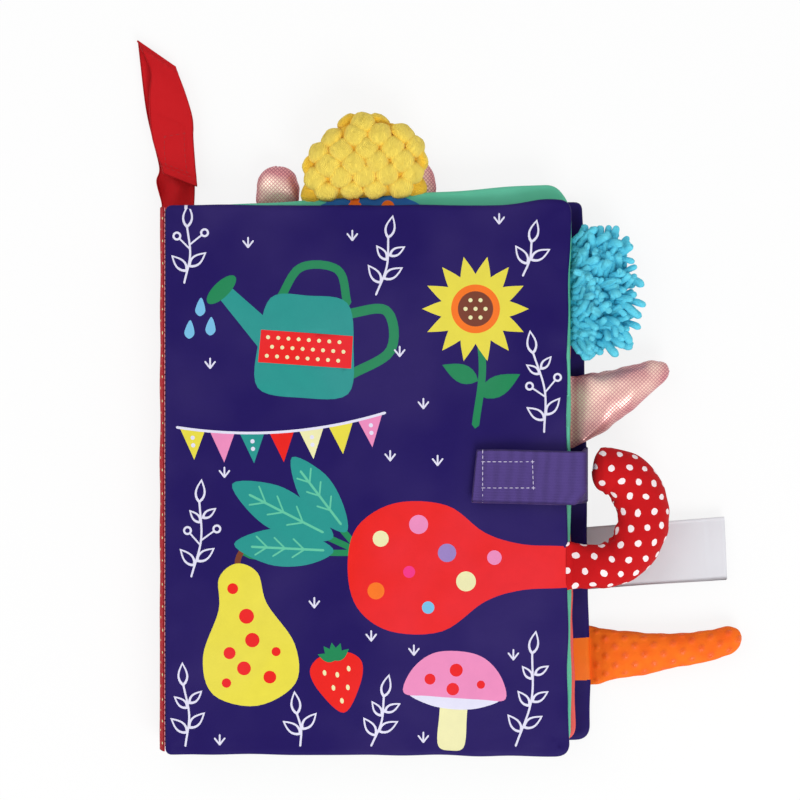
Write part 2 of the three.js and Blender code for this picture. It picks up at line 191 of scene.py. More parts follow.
def dotted_cloth(name, ground, dots, pitch, radius):
    """Cotton with round dots in staggered rows."""
    cloth = Cloth(name)
    across = cloth.uv(0) / pitch + cloth.noise(14, 1) * 0.4
    along = cloth.uv(1) + cloth.noise(17, 1) * pitch * 0.7
    rise = pitch * 0.866
    row = (along / rise).maths("ROUND")
    near = across + row.maths("ABSOLUTE").maths("MODULO", 2.0) * 0.5
    du, dv = (near - near.maths("ROUND")) * pitch, along - row * rise
    apart = (du * du + dv * dv).maths("SQRT")
    inside = apart + cloth.noise(1.1, 1) * 0.5 - 0.25 < radius
    color = cloth.nodes.mix(inside, cloth.mottled(ground, 20, 3, 0.3, 0.72), dots)
    height = cloth.weave(0.55) * 0.25 + cloth.noise(3.2, 3)
    return cloth.finish(color, height, 0.16, 0.78, Sheen_Weight=0.02, Specular_IOR_Level=0.15)


def plain_cloth(name, color, mottling, height, depth, roughness, **constants):
    """Cloth or thread of one colour; its height is worked out from the cloth."""
    cloth = Cloth(name)
    shade = cloth.mottled(color, *mottling)
    return cloth.finish(shade, height(cloth), depth, roughness, **constants)


def napped(name, color):
    """The matte face of hook and loop tape."""
    return plain_cloth(name, color, (1.6, 3, 1, 0.6), lambda cloth: cloth.noise(0.7, 3), 0.3, 0.95)


def thread(name, color):
    return plain_cloth(name, color, (1.5, 2, 0.5, 0.75), lambda cloth: cloth.noise(0.3, 1), 0.08, 0.6)


def webbing(name, color, pitch):
    """Ribbed webbing: the ribs run along it, and a fine weft crosses them."""
    cloth = Cloth(name)
    ribs, weft = cloth.wave(cloth.uv(0), pitch), cloth.wave(cloth.uv(1), 0.7)
    # Painted shade: darker bands across the webbing where its folds also raise the bump, and a touch
    # darker between its ribs; the rest of the darkening is mottling.
    folds = cloth.wave(cloth.uv(1) + cloth.noise(9, 2) * 2.5, 5.3) * cloth.noise(11, 2)
    dark = cloth.noise(2.2, 2) * 0.26 + folds * 0.5 + ribs * 0.03
    shade = cloth.nodes.mix(dark, color, darker(color, 0.6))
    height = ribs * 0.35 + weft * 0.25 + cloth.noise(6, 3) * 2.0 + folds * 2.0
    return cloth.finish(shade, height, 0.12, 0.7, Sheen_Weight=0.02, Specular_IOR_Level=0.15)


def foil_mesh(name):
    """Rose cloth with a slanted net of small gold foil spots."""
    cloth = Cloth(name)
    u, v = cloth.uv(0), cloth.uv(1)
    net = math.sqrt(0.5) / 1.2
    first, second = [(axis - axis.maths("ROUND")).maths("ABSOLUTE")
                     for axis in ((u + v) * net, (u - v) * net)]
    spot = first.maths("MAXIMUM", second) < 0.35
    # Painted highlight and shade: broad light patches on the spots and the ground, darkened where the
    # side attribute says the foil turns away.
    painted_glint = (cloth.noise(13, 2) * 1.9 - 0.25 - cloth.attribute("side") * 0.75).clipped()
    gold = cloth.nodes.mix(painted_glint, linear(226, 158, 156), linear(255, 236, 212))
    ground = cloth.nodes.mix(painted_glint, linear(174, 98, 116), linear(230, 168, 166))
    color = cloth.nodes.mix(spot * 0.9, ground, gold)
    height = spot * 0.6 + cloth.noise(4.5, 3)
    return cloth.finish(color, height, 0.09, 0.6 - spot * 0.28, Metallic=spot * 0.6)


def yarn(name, light, deep, glow, strand, fuzz, sheen):
    """Soft yarn with strands and fuzz; its painted shade makes it deep in its roots, and it is light
    where it stands out.
    """
    cloth = Cloth(name)
    out = (cloth.attribute("reach") + cloth.noise(2.4, 2) * 0.4 - 0.2).clipped()
    strands = cloth.wave(cloth.uv(0) + cloth.noise(3.0, 1) * 1.6, 0.62)
    height = strands * strand + cloth.noise(0.6, 2) * fuzz
    return cloth.finish(cloth.nodes.mix(out, deep, light), height, 0.3, 0.95, Sheen_Weight=sheen,
                        Sheen_Tint=glow, Specular_IOR_Level=0.1)


def dimple_plush(name):
    """Short plush, orange, smoother on its raised dots, which painted shade makes a little deeper."""
    cloth = Cloth(name)
    raised, soft = cloth.attribute("raised"), cloth.noise(9, 3)
    ground = cloth.nodes.mix(soft, linear(240, 82, 8), linear(252, 128, 18))
    color = cloth.nodes.mix(raised * 0.45, ground, linear(224, 70, 6))
    return cloth.finish(color, cloth.noise(0.5, 2) + soft, 0.16, 0.85 - raised * 0.6,
                        Sheen_Weight=0.03, Specular_IOR_Level=0.3)


MATERIALS = {
    "indigo": printed_cloth("printed_indigo"),
    "mint": printed_cloth("printed_mint"),
    "coral": printed_cloth("printed_coral"),
    "spine": dotted_cloth("spine_cloth", linear(186, 30, 42), COLORS["cream"], 5.6, 0.55),
    "dots": dotted_cloth("red_dotted_cloth", linear(200, 15, 22), linear(252, 236, 238), 7.3, 1.4),
    "webbing": webbing("purple_webbing", linear(79, 61, 127), 1.25),
    "red": plain_cloth("red_strap_cloth", linear(204, 20, 28), (18, 4, 0.4, 0.7),
                       lambda cloth: cloth.weave(0.5) * 0.3 + cloth.noise(5.0, 3),
                       0.12, 0.6, Specular_IOR_Level=0.14),
    "foil": foil_mesh("rose_foil_mesh"),
    # The yarns' deep colours are their painted shade, the light ones their lit colour.
    "bobble": yarn("yellow_bobble_fleece", linear(255, 226, 98), linear(250, 200, 60),
                   (1.0, 0.8, 0.34, 1), 0.4, 0.3, 0.5),
    "chenille": yarn("blue_chenille", linear(110, 224, 248), linear(52, 178, 210),
                     (0.16, 0.75, 0.94, 1), 0.1, 2.0, 0.3),
    "plush": dimple_plush("orange_dimple_plush"),
    "satin": plain_cloth("white_satin", linear(224, 224, 230), (22, 3, 0.5, 0.82),
                         lambda cloth: cloth.wave(cloth.uv(1), 0.45) * 0.2 + cloth.noise(7, 2),
                         0.1, 0.5, Specular_IOR_Level=0.35),
    "hooks": napped("purple_hook_and_loop", linear(90, 72, 142)),
    "red_hooks": napped("red_hook_and_loop", linear(150, 14, 24)),
    "pale_thread": thread("pale_thread", linear(206, 196, 226)),
    "red_thread": thread("red_thread", linear(176, 14, 22)),
    "rose_thread": thread("rose_thread", linear(226, 150, 160)),
}


# Meshes


def ripples(seed, longest, shortest):
    """A smooth random field, mostly from -1 to 1, of sine waves between two lengths."""
    rng, count = np.random.default_rng(seed), 7
    lengths = rng.uniform(shortest, longest, count)
    headings = rng.uniform(0, math.pi, count)
    phases = rng.uniform(0, TAU, count)

    def field(x, y=0.0):
        total = sum(
            np.sin(TAU * (x * math.cos(heading) + y * math.sin(heading)) / length + phase)
            for length, heading, phase in zip(lengths, headings, phases)
        )
        return total / math.sqrt(2 * count) * 1.1

    return field


def smooth(low, high, value):
    """0 at the first value, 1 at the second, and an even run between them."""
    share = np.clip((value - low) / (high - low), 0, 1)
    return share * share * (3 - 2 * share)


def unit(vectors):
    """Vectors at length 1."""
    return vectors / np.maximum(np.linalg.norm(vectors, axis=-1, keepdims=True), 1e-9)


def turned(points, radians):
    """Points turned about Z, counter-clockwise from above."""
    c, s = math.cos(radians), math.sin(radians)
    x, y = points[..., 0], points[..., 1]
    return np.concatenate([np.stack([x * c - y * s, x * s + y * c], -1), points[..., 2:]], -1)


def linked(name, data):
    """A new object in the scene."""
    made = bpy.data.objects.new(name, data)
    bpy.context.scene.collection.objects.link(made)
    return made


def make(name, points, faces, material=None, uv=None, values=None, edges=(), vectors=None):
    """A mesh object from points in millimetres, with lengths on the cloth and other values."""
    mesh = bpy.data.meshes.new(name)
    mesh.from_pydata((np.asarray(points, float) * MM).tolist(), edges, faces)
    if material:
        mesh.materials.append(material)
        mesh.shade_smooth()
    if uv is not None:
        corners = np.zeros(len(mesh.loops), np.int32)
        mesh.loops.foreach_get("vertex_index", corners)
        layer = mesh.uv_layers.new(name="cloth")
        layer.data.foreach_set("uv", (np.asarray(uv, float)[corners] * MM).ravel())
    for key, numbers in (values or {}).items():
        attribute = mesh.attributes.new(key, "FLOAT", "POINT")
        attribute.data.foreach_set("value", np.asarray(numbers, np.float32).ravel())
    if vectors is not None:
        attribute = mesh.attributes.new("facing", "FLOAT_VECTOR", "POINT")
        attribute.data.foreach_set("vector", np.asarray(vectors, np.float32).ravel())
    return linked(name, mesh)


def grid_faces(rows, columns, closed=False):
    """Quads over a grid of points, rows first, closed across its columns or not."""
    wide = columns if closed else columns - 1
    return [
        (r * columns + c, r * columns + (c + 1) % columns,
         (r + 1) * columns + (c + 1) % columns, (r + 1) * columns + c)
        for r in range(rows - 1)
        for c in range(wide)
    ]


def capped(rings, ends):
    """Points and faces of a closed tube of rings, with a fan to a point at each end."""
    rows, sides = rings.shape[:2]
    count, last = rows * sides, (rows - 1) * sides
    faces = grid_faces(rows, sides, closed=True)
    faces += [((i + 1) % sides, i, count) for i in range(sides)]
    faces += [(last + i, last + (i + 1) % sides, count + 1) for i in range(sides)]
    return np.vstack([rings.reshape(-1, 3), ends]), faces


def ribbon(name, grid, thickness, material):
    """A closed strip of cloth about a grid of points, with rounded selvedges."""
    rows, columns = grid.shape[:2]
    normals = unit(np.cross(np.gradient(grid, axis=1), np.gradient(grid, axis=0)))
    across = np.linalg.norm(np.diff(grid, axis=1), axis=2).mean(axis=0)
    along = np.linalg.norm(np.diff(grid, axis=0), axis=2).mean(axis=1)
    uv = np.stack(np.meshgrid(*[np.append(0, np.cumsum(run)) for run in (across, along)]), 2)
    count = rows * columns
    faces = grid_faces(rows, columns)
    faces = [face[::-1] for face in faces] + [tuple(count + i for i in face) for face in faces]
    rim = [(0, c) for c in range(columns)] + [(r, columns - 1) for r in range(1, rows)]
    rim += [(rows - 1, c) for c in range(columns - 2, -1, -1)]
    rim += [(r, 0) for r in range(rows - 2, 0, -1)]
    index = [r * columns + c for r, c in rim]
    edge = grid[tuple(zip(*rim))]
    inside = np.array([grid[min(max(r, 1), rows - 2), min(max(c, 1), columns - 2)] for r, c in rim])
    round_edge = edge + unit(edge - inside) * thickness * 0.35
    up, down = [(grid + normals * half).reshape(-1, 3) for half in (thickness / 2, -thickness / 2)]
    for i, a in enumerate(index):
        j = (i + 1) % len(rim)
        faces.append((index[j], a, 2 * count + i, 2 * count + j))
        faces.append((2 * count + j, 2 * count + i, count + a, count + index[j]))
    flat = uv.reshape(-1, 2)
    return make(name, np.vstack([up, down, round_edge]), faces, material,
                np.vstack([flat, flat, flat[index]]))


def length_along(line):
    """How far along a line of points each of them lies."""
    return np.append(0, np.cumsum(np.linalg.norm(np.diff(line, axis=0), axis=1)))


def at_places(line, places, wanted):
    """Points of a line, by where its points lie on it and where the wanted ones do."""
    return np.stack([np.interp(wanted, places, column) for column in line.T], 1)


def resample(line, step, closed=False):
    """Even points along a line of points."""
    line = np.vstack([line, line[:1]]) if closed else np.asarray(line, float)
    at = length_along(line)
    wanted = np.linspace(0, at[-1], max(int(round(at[-1] / step)), 2) + 1)
    return at_places(line, at, wanted[:-1] if closed else wanted)


def through(points, each, closed=False):
    """A smooth curve through points (Catmull-Rom), with so many points to each stretch."""
    points = np.asarray(points, float)
    count = len(points)
    before, after = np.roll(points, 1, axis=0), np.roll(points, -1, axis=0)
    if not closed:
        before[0] = 2 * points[0] - points[1]
        after[-1] = 2 * points[-1] - points[-2]
    t = np.linspace(0, 1, each, endpoint=False)[:, None]
    made = []
    for i in range(count if closed else count - 1):
        p0, p1, p2, p3 = before[i], points[i], after[i], after[(i + 1) % count]
        made.append(0.5 * (
            2 * p1 + (p2 - p0) * t + (2 * p0 - 5 * p1 + 4 * p2 - p3) * t ** 2
            + (3 * p1 - p0 - 3 * p2 + p3) * t ** 3
        ))
    return np.vstack(made + ([] if closed else [points[-1:]]))


# Geometry nodes


def geometry_tree(name, **kinds):
    """A Geometry Nodes tree with named inputs, and a way to read them."""
    tree = bpy.data.node_groups.new(name, "GeometryNodeTree")
    for label, kind in {"Geometry": "Geometry", **kinds}.items():
        tree.interface.new_socket(label, in_out="INPUT", socket_type=f"NodeSocket{kind}")
    tree.interface.new_socket("Geometry", in_out="OUTPUT", socket_type="NodeSocketGeometry")
    nodes = Nodes(tree)
    entry = tree.nodes.new("NodeGroupInput")
    return nodes, lambda label: Link(nodes, entry.outputs[label])


def close_tree(nodes, placing, material):
    """Sets a shape on each point, makes it real and gives it the material."""
    placed = nodes.add("GeometryNodeInstanceOnPoints", inputs=placing)
    real = nodes.add("GeometryNodeRealizeInstances", inputs=[placed])
    dressed = nodes.add("GeometryNodeSetMaterial", inputs={"Geometry": real, "Material": material})
    nodes.add("NodeGroupOutput", inputs=[dressed])
    return nodes.tree


def stitch_tree():
    """Stitches along every line of edges: a pitch, a stitch length and a thread radius."""
    nodes, given = geometry_tree("stitches", Pitch="Float", Length="Float", Radius="Float",
                                 Material="Material")
    curve = nodes.add("GeometryNodeMeshToCurve", inputs=[given("Geometry")])
    points = nodes.add("GeometryNodeCurveToPoints", {"mode": "LENGTH"},
                       {0: curve, "Length": given("Pitch")})
    turn = Link(nodes, points.socket.node.outputs["Rotation"])
    bead = nodes.add("GeometryNodeMeshUVSphere", inputs={"Segments": 8, "Rings": 6, "Radius": 1.0})
    size = nodes.add("ShaderNodeCombineXYZ",
                     inputs=[given("Radius"), given("Radius"), given("Length") * 0.5])
    placing = {"Points": points, "Instance": bead, "Rotation": turn, "Scale": size}
    return close_tree(nodes, placing, given("Material"))


def planting_tree():
    """Shapes of a collection on points, each standing along the point's facing."""
    nodes, given = geometry_tree("planting", Shapes="Collection", Smallest="Float",
                                 Largest="Float", Spin="Float", Material="Material")
    shapes = nodes.add("GeometryNodeCollectionInfo", inputs={
        "Collection": given("Shapes"), "Separate Children": True, "Reset Children": True,
    })
    facing = nodes.add("GeometryNodeInputNamedAttribute", {"data_type": "FLOAT_VECTOR"},
                       {"Name": "facing"})
    upright = nodes.add("FunctionNodeAlignRotationToVector", {"axis": "Z"}, {"Vector": facing})

    def drawn(low, high, seed):
        inputs = {2: low, 3: high, "Seed": seed}
        return nodes.add("FunctionNodeRandomValue", inputs=inputs, output=1)

    spin = nodes.add("ShaderNodeCombineXYZ",
                     inputs={2: drawn(given("Spin") * -1.0, given("Spin"), 3)})
    turn = nodes.add("FunctionNodeRotateRotation", {"rotation_space": "LOCAL"}, [upright, spin])
    placing = {"Points": given("Geometry"), "Instance": shapes, "Pick Instance": True,
               "Rotation": turn, "Scale": drawn(given("Smallest"), given("Largest"), 5)}
    return close_tree(nodes, placing, given("Material"))


STITCHES = stitch_tree()
PLANTING = planting_tree()


def grown(source, tree, name, values):
    """The plain mesh that a tree makes of an object, in a new object."""
    modifier = source.modifiers.new("grow", "NODES")
    modifier.node_group = tree
    for item in tree.interface.items_tree:
        if item.in_out == "INPUT" and item.name in values:
            modifier[item.identifier] = values[item.name]
    depsgraph = bpy.context.evaluated_depsgraph_get()
    mesh = bpy.data.meshes.new_from_object(
        source.evaluated_get(depsgraph), preserve_all_data_layers=True, depsgraph=depsgraph
    )
    bpy.data.objects.remove(source)
    return linked(name, mesh)


def stitches(name, lines, material, pitch, length, radius):
    """Thread stitches along lines of points in millimetres."""
    starts = np.cumsum([0] + [len(line) for line in lines])
    edges = [(int(start) + i, int(start) + i + 1)
             for start, line in zip(starts, lines) for i in range(len(line) - 1)]
    source = make(f"{name}_lines", np.vstack(lines), [], edges=edges)
    return grown(source, STITCHES, name, {
        "Pitch": pitch * MM, "Length": length * MM, "Radius": radius * MM, "Material": material,
    })


def planted(name, points, facings, shapes, sizes, spin, material):
    """Shapes that stand on points in millimetres, each along its facing."""
    source = make(f"{name}_points", points, [], vectors=facings)
    group = bpy.data.collections.new(f"{name}_shapes")
    for shape in shapes:
        bpy.context.scene.collection.objects.unlink(shape)
        group.objects.link(shape)
    made = grown(source, PLANTING, name, {
        "Shapes": group, "Smallest": sizes[0], "Largest": sizes[1], "Spin": spin,
        "Material": material,
    })
    for shape in shapes:
        bpy.data.objects.remove(shape)
    bpy.data.collections.remove(group)
    made.data.shade_smooth()
    return made


# The print


class Pen:
    """Draws flat shapes in the plane of a leaf; a later shape covers an earlier one."""

    def __init__(self, shapes, at=(0.0, 0.0), turn=0.0, scale=1.0):
        self.shapes, self.at, self.turn, self.scale = shapes, np.array(at), turn, scale

    def moved(self, x, y, turn=0.0, scale=1.0):
        at = self.spot(np.array([[x, y]]))[0]
        return Pen(self.shapes, at, self.turn + math.radians(turn), self.scale * scale)

    def spot(self, points):
        return turned(np.asarray(points, float) * self.scale, self.turn) + self.at

    def patch(self, points, color):
        x, y = np.asarray(points, float).T
        area = (x * np.roll(y, -1) - np.roll(x, -1) * y).sum()
        self.shapes.append((self.spot(points[::-1] if area < 0 else points), color))

    def blob(self, points, color, each=6):
        self.patch(through(points, each, closed=True), color)

    def disc(self, x, y, radius, color, tall=None, turn=0.0):
        angle = np.linspace(0, TAU, max(14, int(radius * self.scale * 6)), endpoint=False)
        oval = np.stack([np.cos(angle) * radius, np.sin(angle) * (tall or radius)], 1)
        self.patch(turned(oval, math.radians(turn)) + [x, y], color)

    def stroke(self, points, width, color, bend=True):
        line = resample(through(points, 6) if bend else points, 1.5 / self.scale)
        run = unit(np.gradient(line, axis=0)) * width / 2
        side = np.stack([-run[:, 1], run[:, 0]], 1)
        ends = [line[-1] + run[-1]], [line[0] - run[0]]
        self.patch(np.vstack([line + side, ends[0], (line - side)[::-1], ends[1]]), color)

    def almond(self, x, y, turn, length, width, color, inside=None, line=1.1):
        """A pointed oval leaf that starts at a point; with an inside, only its line is drawn."""
        leaf = self.moved(x, y, turn)
        share = np.linspace(0, 1, 9)
        side = np.stack([share * length, np.sin(math.pi * share ** 0.8) * width / 2], 1)
        outline = np.vstack([side, (side * [1, -1])[-2:0:-1]])
        leaf.patch(outline, color)
        if inside:
            shares = [(length - 3.2 * line) / length, 1 - 2 * line / width]
            leaf.patch(outline * shares + [1.7 * line, 0], inside)


def sprig(pen, ground, height, pairs, leaf, line=1.1, berries=False):
    """A twig in line, with pairs of leaves or berries and a leaf at its end."""
    sway = height * 0.08
    pen.stroke([(0, 0), (sway, height * 0.5), (0, height)], line, "white")
    for i in range(pairs):
        up = height * (i + 0.6) / (pairs + 0.5)
        reach = leaf * (1 - 0.35 * i / pairs)
        middle = sway * math.sin(math.pi * up / height)
        for way in (1, -1):
            turn, start = 90 - way * 48, np.array([middle, up + way])
            if berries and i % 2:
                tip = np.array([math.cos(math.radians(turn)), math.sin(math.radians(turn))])
                end = start + tip * reach * 0.8
                pen.stroke([start, end], line * 0.85, "white", bend=False)
                for radius, color in ((1.9, "white"), (1.0, ground)):
                    pen.disc(*(end + tip * 1.2), radius, color)
            else:
                pen.almond(*start, turn, reach, reach * 0.46, "white", ground, line)
    pen.almond(0, height - 1, 90, leaf * 1.05, leaf * 0.46, "white", ground, line)


def tufts(pen, places, scale=1.0):
    """Three short blades of grass at every place."""
    for x, y in places:
        for lean in (-38, 0, 38):
            blade = pen.moved(x, y, 0, scale).moved(0, 0, -lean)
            blade.stroke([(0, 0), (0, 3.8 if lean else 4.6)], 0.8, "white", bend=False)


def dots_on(pen, places, colors, radius):
    for i, (x, y) in enumerate(places):
        pen.disc(x, y, radius * (1 + 0.25 * math.sin(2.3 * i)), colors[i % len(colors)])


def radish(pen):
    """A round root with leaves at its left; its tail runs over the edge to the stuffed one."""
    for turn, length, wide in ((152, 62, 17), (176, 54, 15), (126, 50, 14)):
        leaf = pen.moved(-24, 6, turn)
        leaf.stroke([(0, 0), (length * 0.5, 1.5), (length * 0.8, 0)], 2.6, "green")
        leaf.blob(np.array([(0.22, 0), (0.42, 0.44), (0.72, 0.5), (1, 0), (0.72, -0.5),
                            (0.42, -0.4)]) * [length, wide], "teal")
        leaf.stroke([(length * 0.3, 0), (length * 0.86, 0.6)], 1.0, "mint")
        for x in (0.45, 0.6, 0.74):
            for way in (1, -1):
                vein = [(length * x, 0.3), (length * (x + 0.09), way * wide * 0.26)]
                leaf.stroke(vein, 0.7, "mint", bend=False)
    pen.blob([(-30, 0), (-26, 17), (-10, 27), (12, 26), (28, 14.5), (44, 9.6), (66, 8), (70, 0),
              (66, -8), (44, -9.6), (28, -14.5), (10, -27), (-12, -27), (-26, -17)], "red")
    places = [(-16, 12), (0, 18), (-4, -2), (12, 6), (-18, -10), (4, -17), (20, -6), (32, 4)]
    dots_on(pen, places, ["cream", "pink", "hot_pink", "lilac", "orange", "sky"], 3.4)


def watering_can(pen):
    """A can with a spotted band, its spout at the left and three drops."""
    pen.stroke([(16, 14), (34, 17), (37, 0), (20, -12)], 4.2, "green")
    pen.stroke([(-12, 19), (-4, 33), (12, 33), (17, 19)], 3.6, "green")
    pen.patch([(-15, -8), (-38, 17), (-33, 22), (-12, 6)], "teal")
    pen.disc(-37.5, 21, 8.2, "green", 3.4, 48)
    pen.blob([(-19, -20), (-20, 0), (-16, 19), (0, 21), (17, 19), (21, 0), (20, -20), (0, -23)],
             "teal")
    pen.patch([(-19.6, -9), (-19.2, 5), (20.4, 5), (20.6, -9)], "red")
    for row, y in enumerate((-6, -2, 2)):
        for x in np.arange(-16 + 2 * (row % 2), 19, 4.4):
            pen.disc(x, y, 0.85, "cream")
    for x, y in ((-46, 12), (-50, 2), (-41, 4)):
        pen.blob([(x, y + 5), (x + 2.2, y - 0.5), (x, y - 3), (x - 2.2, y - 0.5)], "sky")


def pear(pen):
    pen.stroke([(0, 26), (1, 32), (5, 37)], 2.4, "brown")
    pen.almond(3, 33, 12, 17, 8, "green")
    pen.blob([(0, 30), (8, 25), (10, 12), (19, -6), (17, -22), (0, -29), (-17, -22), (-19, -6),
              (-10, 12), (-8, 25)], "yellow")
    places = [(-8, -6), (2, -2), (11, -8), (-3, -13), (7, -18), (-11, -18), (1, 8), (-3, 20)]
    dots_on(pen, places, ["red"], 2.5)


def sunflower(pen, stem):
    pen.stroke([(0, 0), (3, -stem * 0.5), (0, -stem)], 3.2, "green")
    pen.almond(1.6, -stem * 0.75, 28, 20, 9, "green")
    pen.almond(1.2, -stem * 0.62, 156, 17, 8, "green")
    for i in range(14):
        pen.almond(0, 0, i * 360 / 14, 23, 8.2, "yellow")
    pen.disc(0, 0, 10.5, "orange")
    pen.disc(0, 0, 7.6, "brown")
    for i in range(7):
        far = 4.3 if i < 6 else 0
        pen.disc(far * math.cos(i * TAU / 6), far * math.sin(i * TAU / 6), 0.9, "cream")


def toadstool(pen, cap, spots):
    pen.blob([(-6, -22), (-6.5, -10), (-5, 3), (5, 3), (6.5, -10), (6, -22), (0, -24)], "cream")
    pen.blob([(-21, 2), (-12, -3), (0, -4.5), (12, -3), (21, 2), (0, 6)], "white")
    pen.blob([(-24, 2), (-20, 14), (-9, 22), (9, 22), (20, 14), (24, 2), (12, 1), (-12, 1)], cap)
    dots_on(pen, [(-12, 9), (0, 14), (12, 8), (-1, 5)], [spots], 2.6)


def strawberry(pen):
    pen.blob([(0, -17), (-10, -5), (-13, 6), (-7, 12), (0, 10), (7, 12), (13, 6), (10, -5)], "red")
    for x, y in ((-6, 4), (0, 2), (6, 4), (-3, -4), (4, -5), (0, -11)):
        pen.disc(x, y, 0.9, "cream", 1.4)
    for turn in (30, 62, 90, 118, 150):
        pen.almond(0, 9, turn, 9, 4, "green")


def tulip(pen, color, spots):
    pen.stroke([(0, 0), (1, -18), (0, -34)], 2.0, "green")
    pen.almond(0, -32, 62, 22, 6, "teal")
    pen.almond(0, -33, 124, 20, 6, "teal")
    pen.blob([(-8, 4), (-9, 14), (-4, 10), (0, 16), (4, 10), (9, 14), (8, 4), (0, -3)], color)
    dots_on(pen, [(-4, 4), (4, 4), (0, 8), (0, 0)], [spots], 1.0)


def bunting(pen, length, sag, count):
    """Small flags on a string between two points."""
    share = np.linspace(0, 1, count * 2 + 1)
    line = np.stack([share * length, -4 * sag * share * (1 - share)], 1)
    colors = ["yellow", "pink", "teal", "red", "cream"]
    for i in range(count):
        a, b = line[2 * i] + [1.2, -0.4], line[2 * i + 2] - [1.2, 0.4]
        middle = (a + b) / 2
        pen.patch([a, middle - [0, 12.5], b], colors[i % len(colors)])
        for drop in (3.2, 6.4) if i % 2 == 0 else ():
            pen.disc(*(middle - [0, drop]), 0.9, "white")
    pen.stroke(line, 1.1, "white")


def cloud(pen, color):
    pen.blob([(-22, -6), (-23, 3), (-14, 8), (-8, 15), (4, 14), (9, 8), (19, 8), (23, 0),
              (19, -7), (0, -8)], color)


def round_tree(pen):
    """A broad tree, drawn down from the top of its crown."""
    pen.patch([(-4, -92), (-3, -30), (3, -30), (5, -92)], "brown")
    pen.blob([(-30, -52), (-34, -26), (-26, -7), (0, 1.5), (24, -4), (34, -26), (30, -52),
              (0, -62)], "blue")
    places = [(-5, -4.5), (12, -14), (-18, -18), (-4, -27), (20, -32), (-22, -38), (4, -44), (9, -4)]
    dots_on(pen, places, ["orange"], 3.1)


def hills(pen, color, second, edge):
    """Two rounded hills near the bottom of a page, clear of its edge."""
    foot = edge + 9
    pen.blob([(-74, foot), (-78, -70), (-50, -44), (-6, -56), (30, -74), (26, foot)], color, 10)
    pen.blob([(-12, foot), (12, -68), (48, -42), (76, -64), (75, foot), (30, foot - 2)], second, 10)


def front_print():
    """The cover's garden: large shapes, twigs in line round them, and tufts between."""
    pen = Pen([])
    for i, (x, y, turn, height, pairs) in enumerate([
        (-77, 83, -3, 24, 2), (4, 78, -12, 25, 2), (75, 20, 8, 34, 3), (63, -112.5, -10, 40, 3),
        (-74, -41, -6, 32, 3), (-76.5, -112.5, 2, 26, 2), (-28, -112.5, 6, 14, 1),
        (2, -112.5, -14, 22, 2), (66, 86, -14, 15, 1),
    ]):
        sprig(pen.moved(x, y, turn), "indigo", height, pairs, 10, 0.85, berries=i % 2 == 0)
    watering_can(pen.moved(-26, 57, -4, 0.98))
    sunflower(pen.moved(46, 72, 0, 0.98), 50)
    bunting(pen.moved(-80, 22, 4), 88, 5, 7)
    pear(pen.moved(-50.5, -66, 8, 1.03))
    radish(pen.moved(22, -37))
    toadstool(pen.moved(37, -93, -4, 0.9), "pink", "red")
    strawberry(pen.moved(-12, -84, 10, 0.86))
    tufts(pen, [(-6, 101), (14, 52), (24, 30), (-60, 1), (-22, -54), (2, -68), (62, -76), (-50, 98),
                (10, 8), (24, -111), (56, 108), (20, -74), (-66, 47), (30, 6), (-62, -112)], 0.9)
    return pen.shapes


def page_print(ground, seed, edge):
    """A generic garden page: hills, a tree or flowers, a cloud and small twigs."""
    pen = Pen([])
    rng = np.random.default_rng(seed)
    pairs = {"mint": ("teal", "green"), "coral": ("yellow", "orange"), "indigo": ("teal", "blue")}
    hills(pen, *pairs[ground], edge)
    if ground == "mint":
        round_tree(pen.moved(0, 119.6))
        tulip(pen.moved(-56, -26, 4, 1.3), "pink", "red")
        tulip(pen.moved(56, -16, -6, 1.35), "red", "cream")
        strawberry(pen.moved(56, 58, 14))
        cloud(pen.moved(-54, 62, 0, 0.9), "white")
    elif ground == "coral":
        toadstool(pen.moved(-40, -16, 4, 1.5), "red", "cream")
        sunflower(pen.moved(34, 26, 0, 1.2), 60)
        cloud(pen.moved(-40, 74), "white")
        strawberry(pen.moved(46, 92, -12))
    else:
        sprig(pen.moved(-56, -30, 6), ground, 56, 4, 13)
        sprig(pen.moved(46, 10, -8), ground, 60, 4, 13, berries=True)
        cloud(pen.moved(-20, 78), "sky")
        tulip(pen.moved(-8, -6, 4, 1.4), "pink", "red")
    places = [(rng.uniform(-72, 72), rng.uniform(34, 104)) for _ in range(9)]
    tufts(pen, [(x, y) for x, y in places if abs(x) > 32 or ground != "mint"])
    return pen.shapes


def back_inside_print(edge):
    """The inside of the back cover: a large root that runs on into the stuffed one."""
    pen = Pen([])
    pen.blob([(-96, edge), (-96, -92), (-50, -78), (0, -90), (40, -102), (70, edge),
              (0, edge - 3)], "teal", 10)
    pen.blob([(-52, -50), (-40, -34), (-6, -42), (40, -64), (70, -69.5), (104, -69.5),
              (104, -85.5), (70, -86), (30, -84), (-10, -78), (-44, -68)], "orange")
    for x in (-34, -16, 4, 26):
        pen.stroke([(x, -52 - x * 0.2), (x + 3, -58 - x * 0.2)], 1.2, "red", bend=False)
    for turn in (112, 140, 168):
        pen.almond(-48, -48, turn, 34, 11, "green")
    sunflower(pen.moved(-30, 66, 0, 1.1), 50)
    cloud(pen.moved(44, 84), "sky")
    sprig(pen.moved(44, -40, 4), "indigo", 56, 4, 12, berries=True)
    tufts(pen, [(-66, 10), (-8, 20), (66, 40), (10, 104), (-68, 100), (20, -20)])
    return pen.shapes


# Leaves

LEAF_RISE = 6.4
HALF_LEAF = 2.95
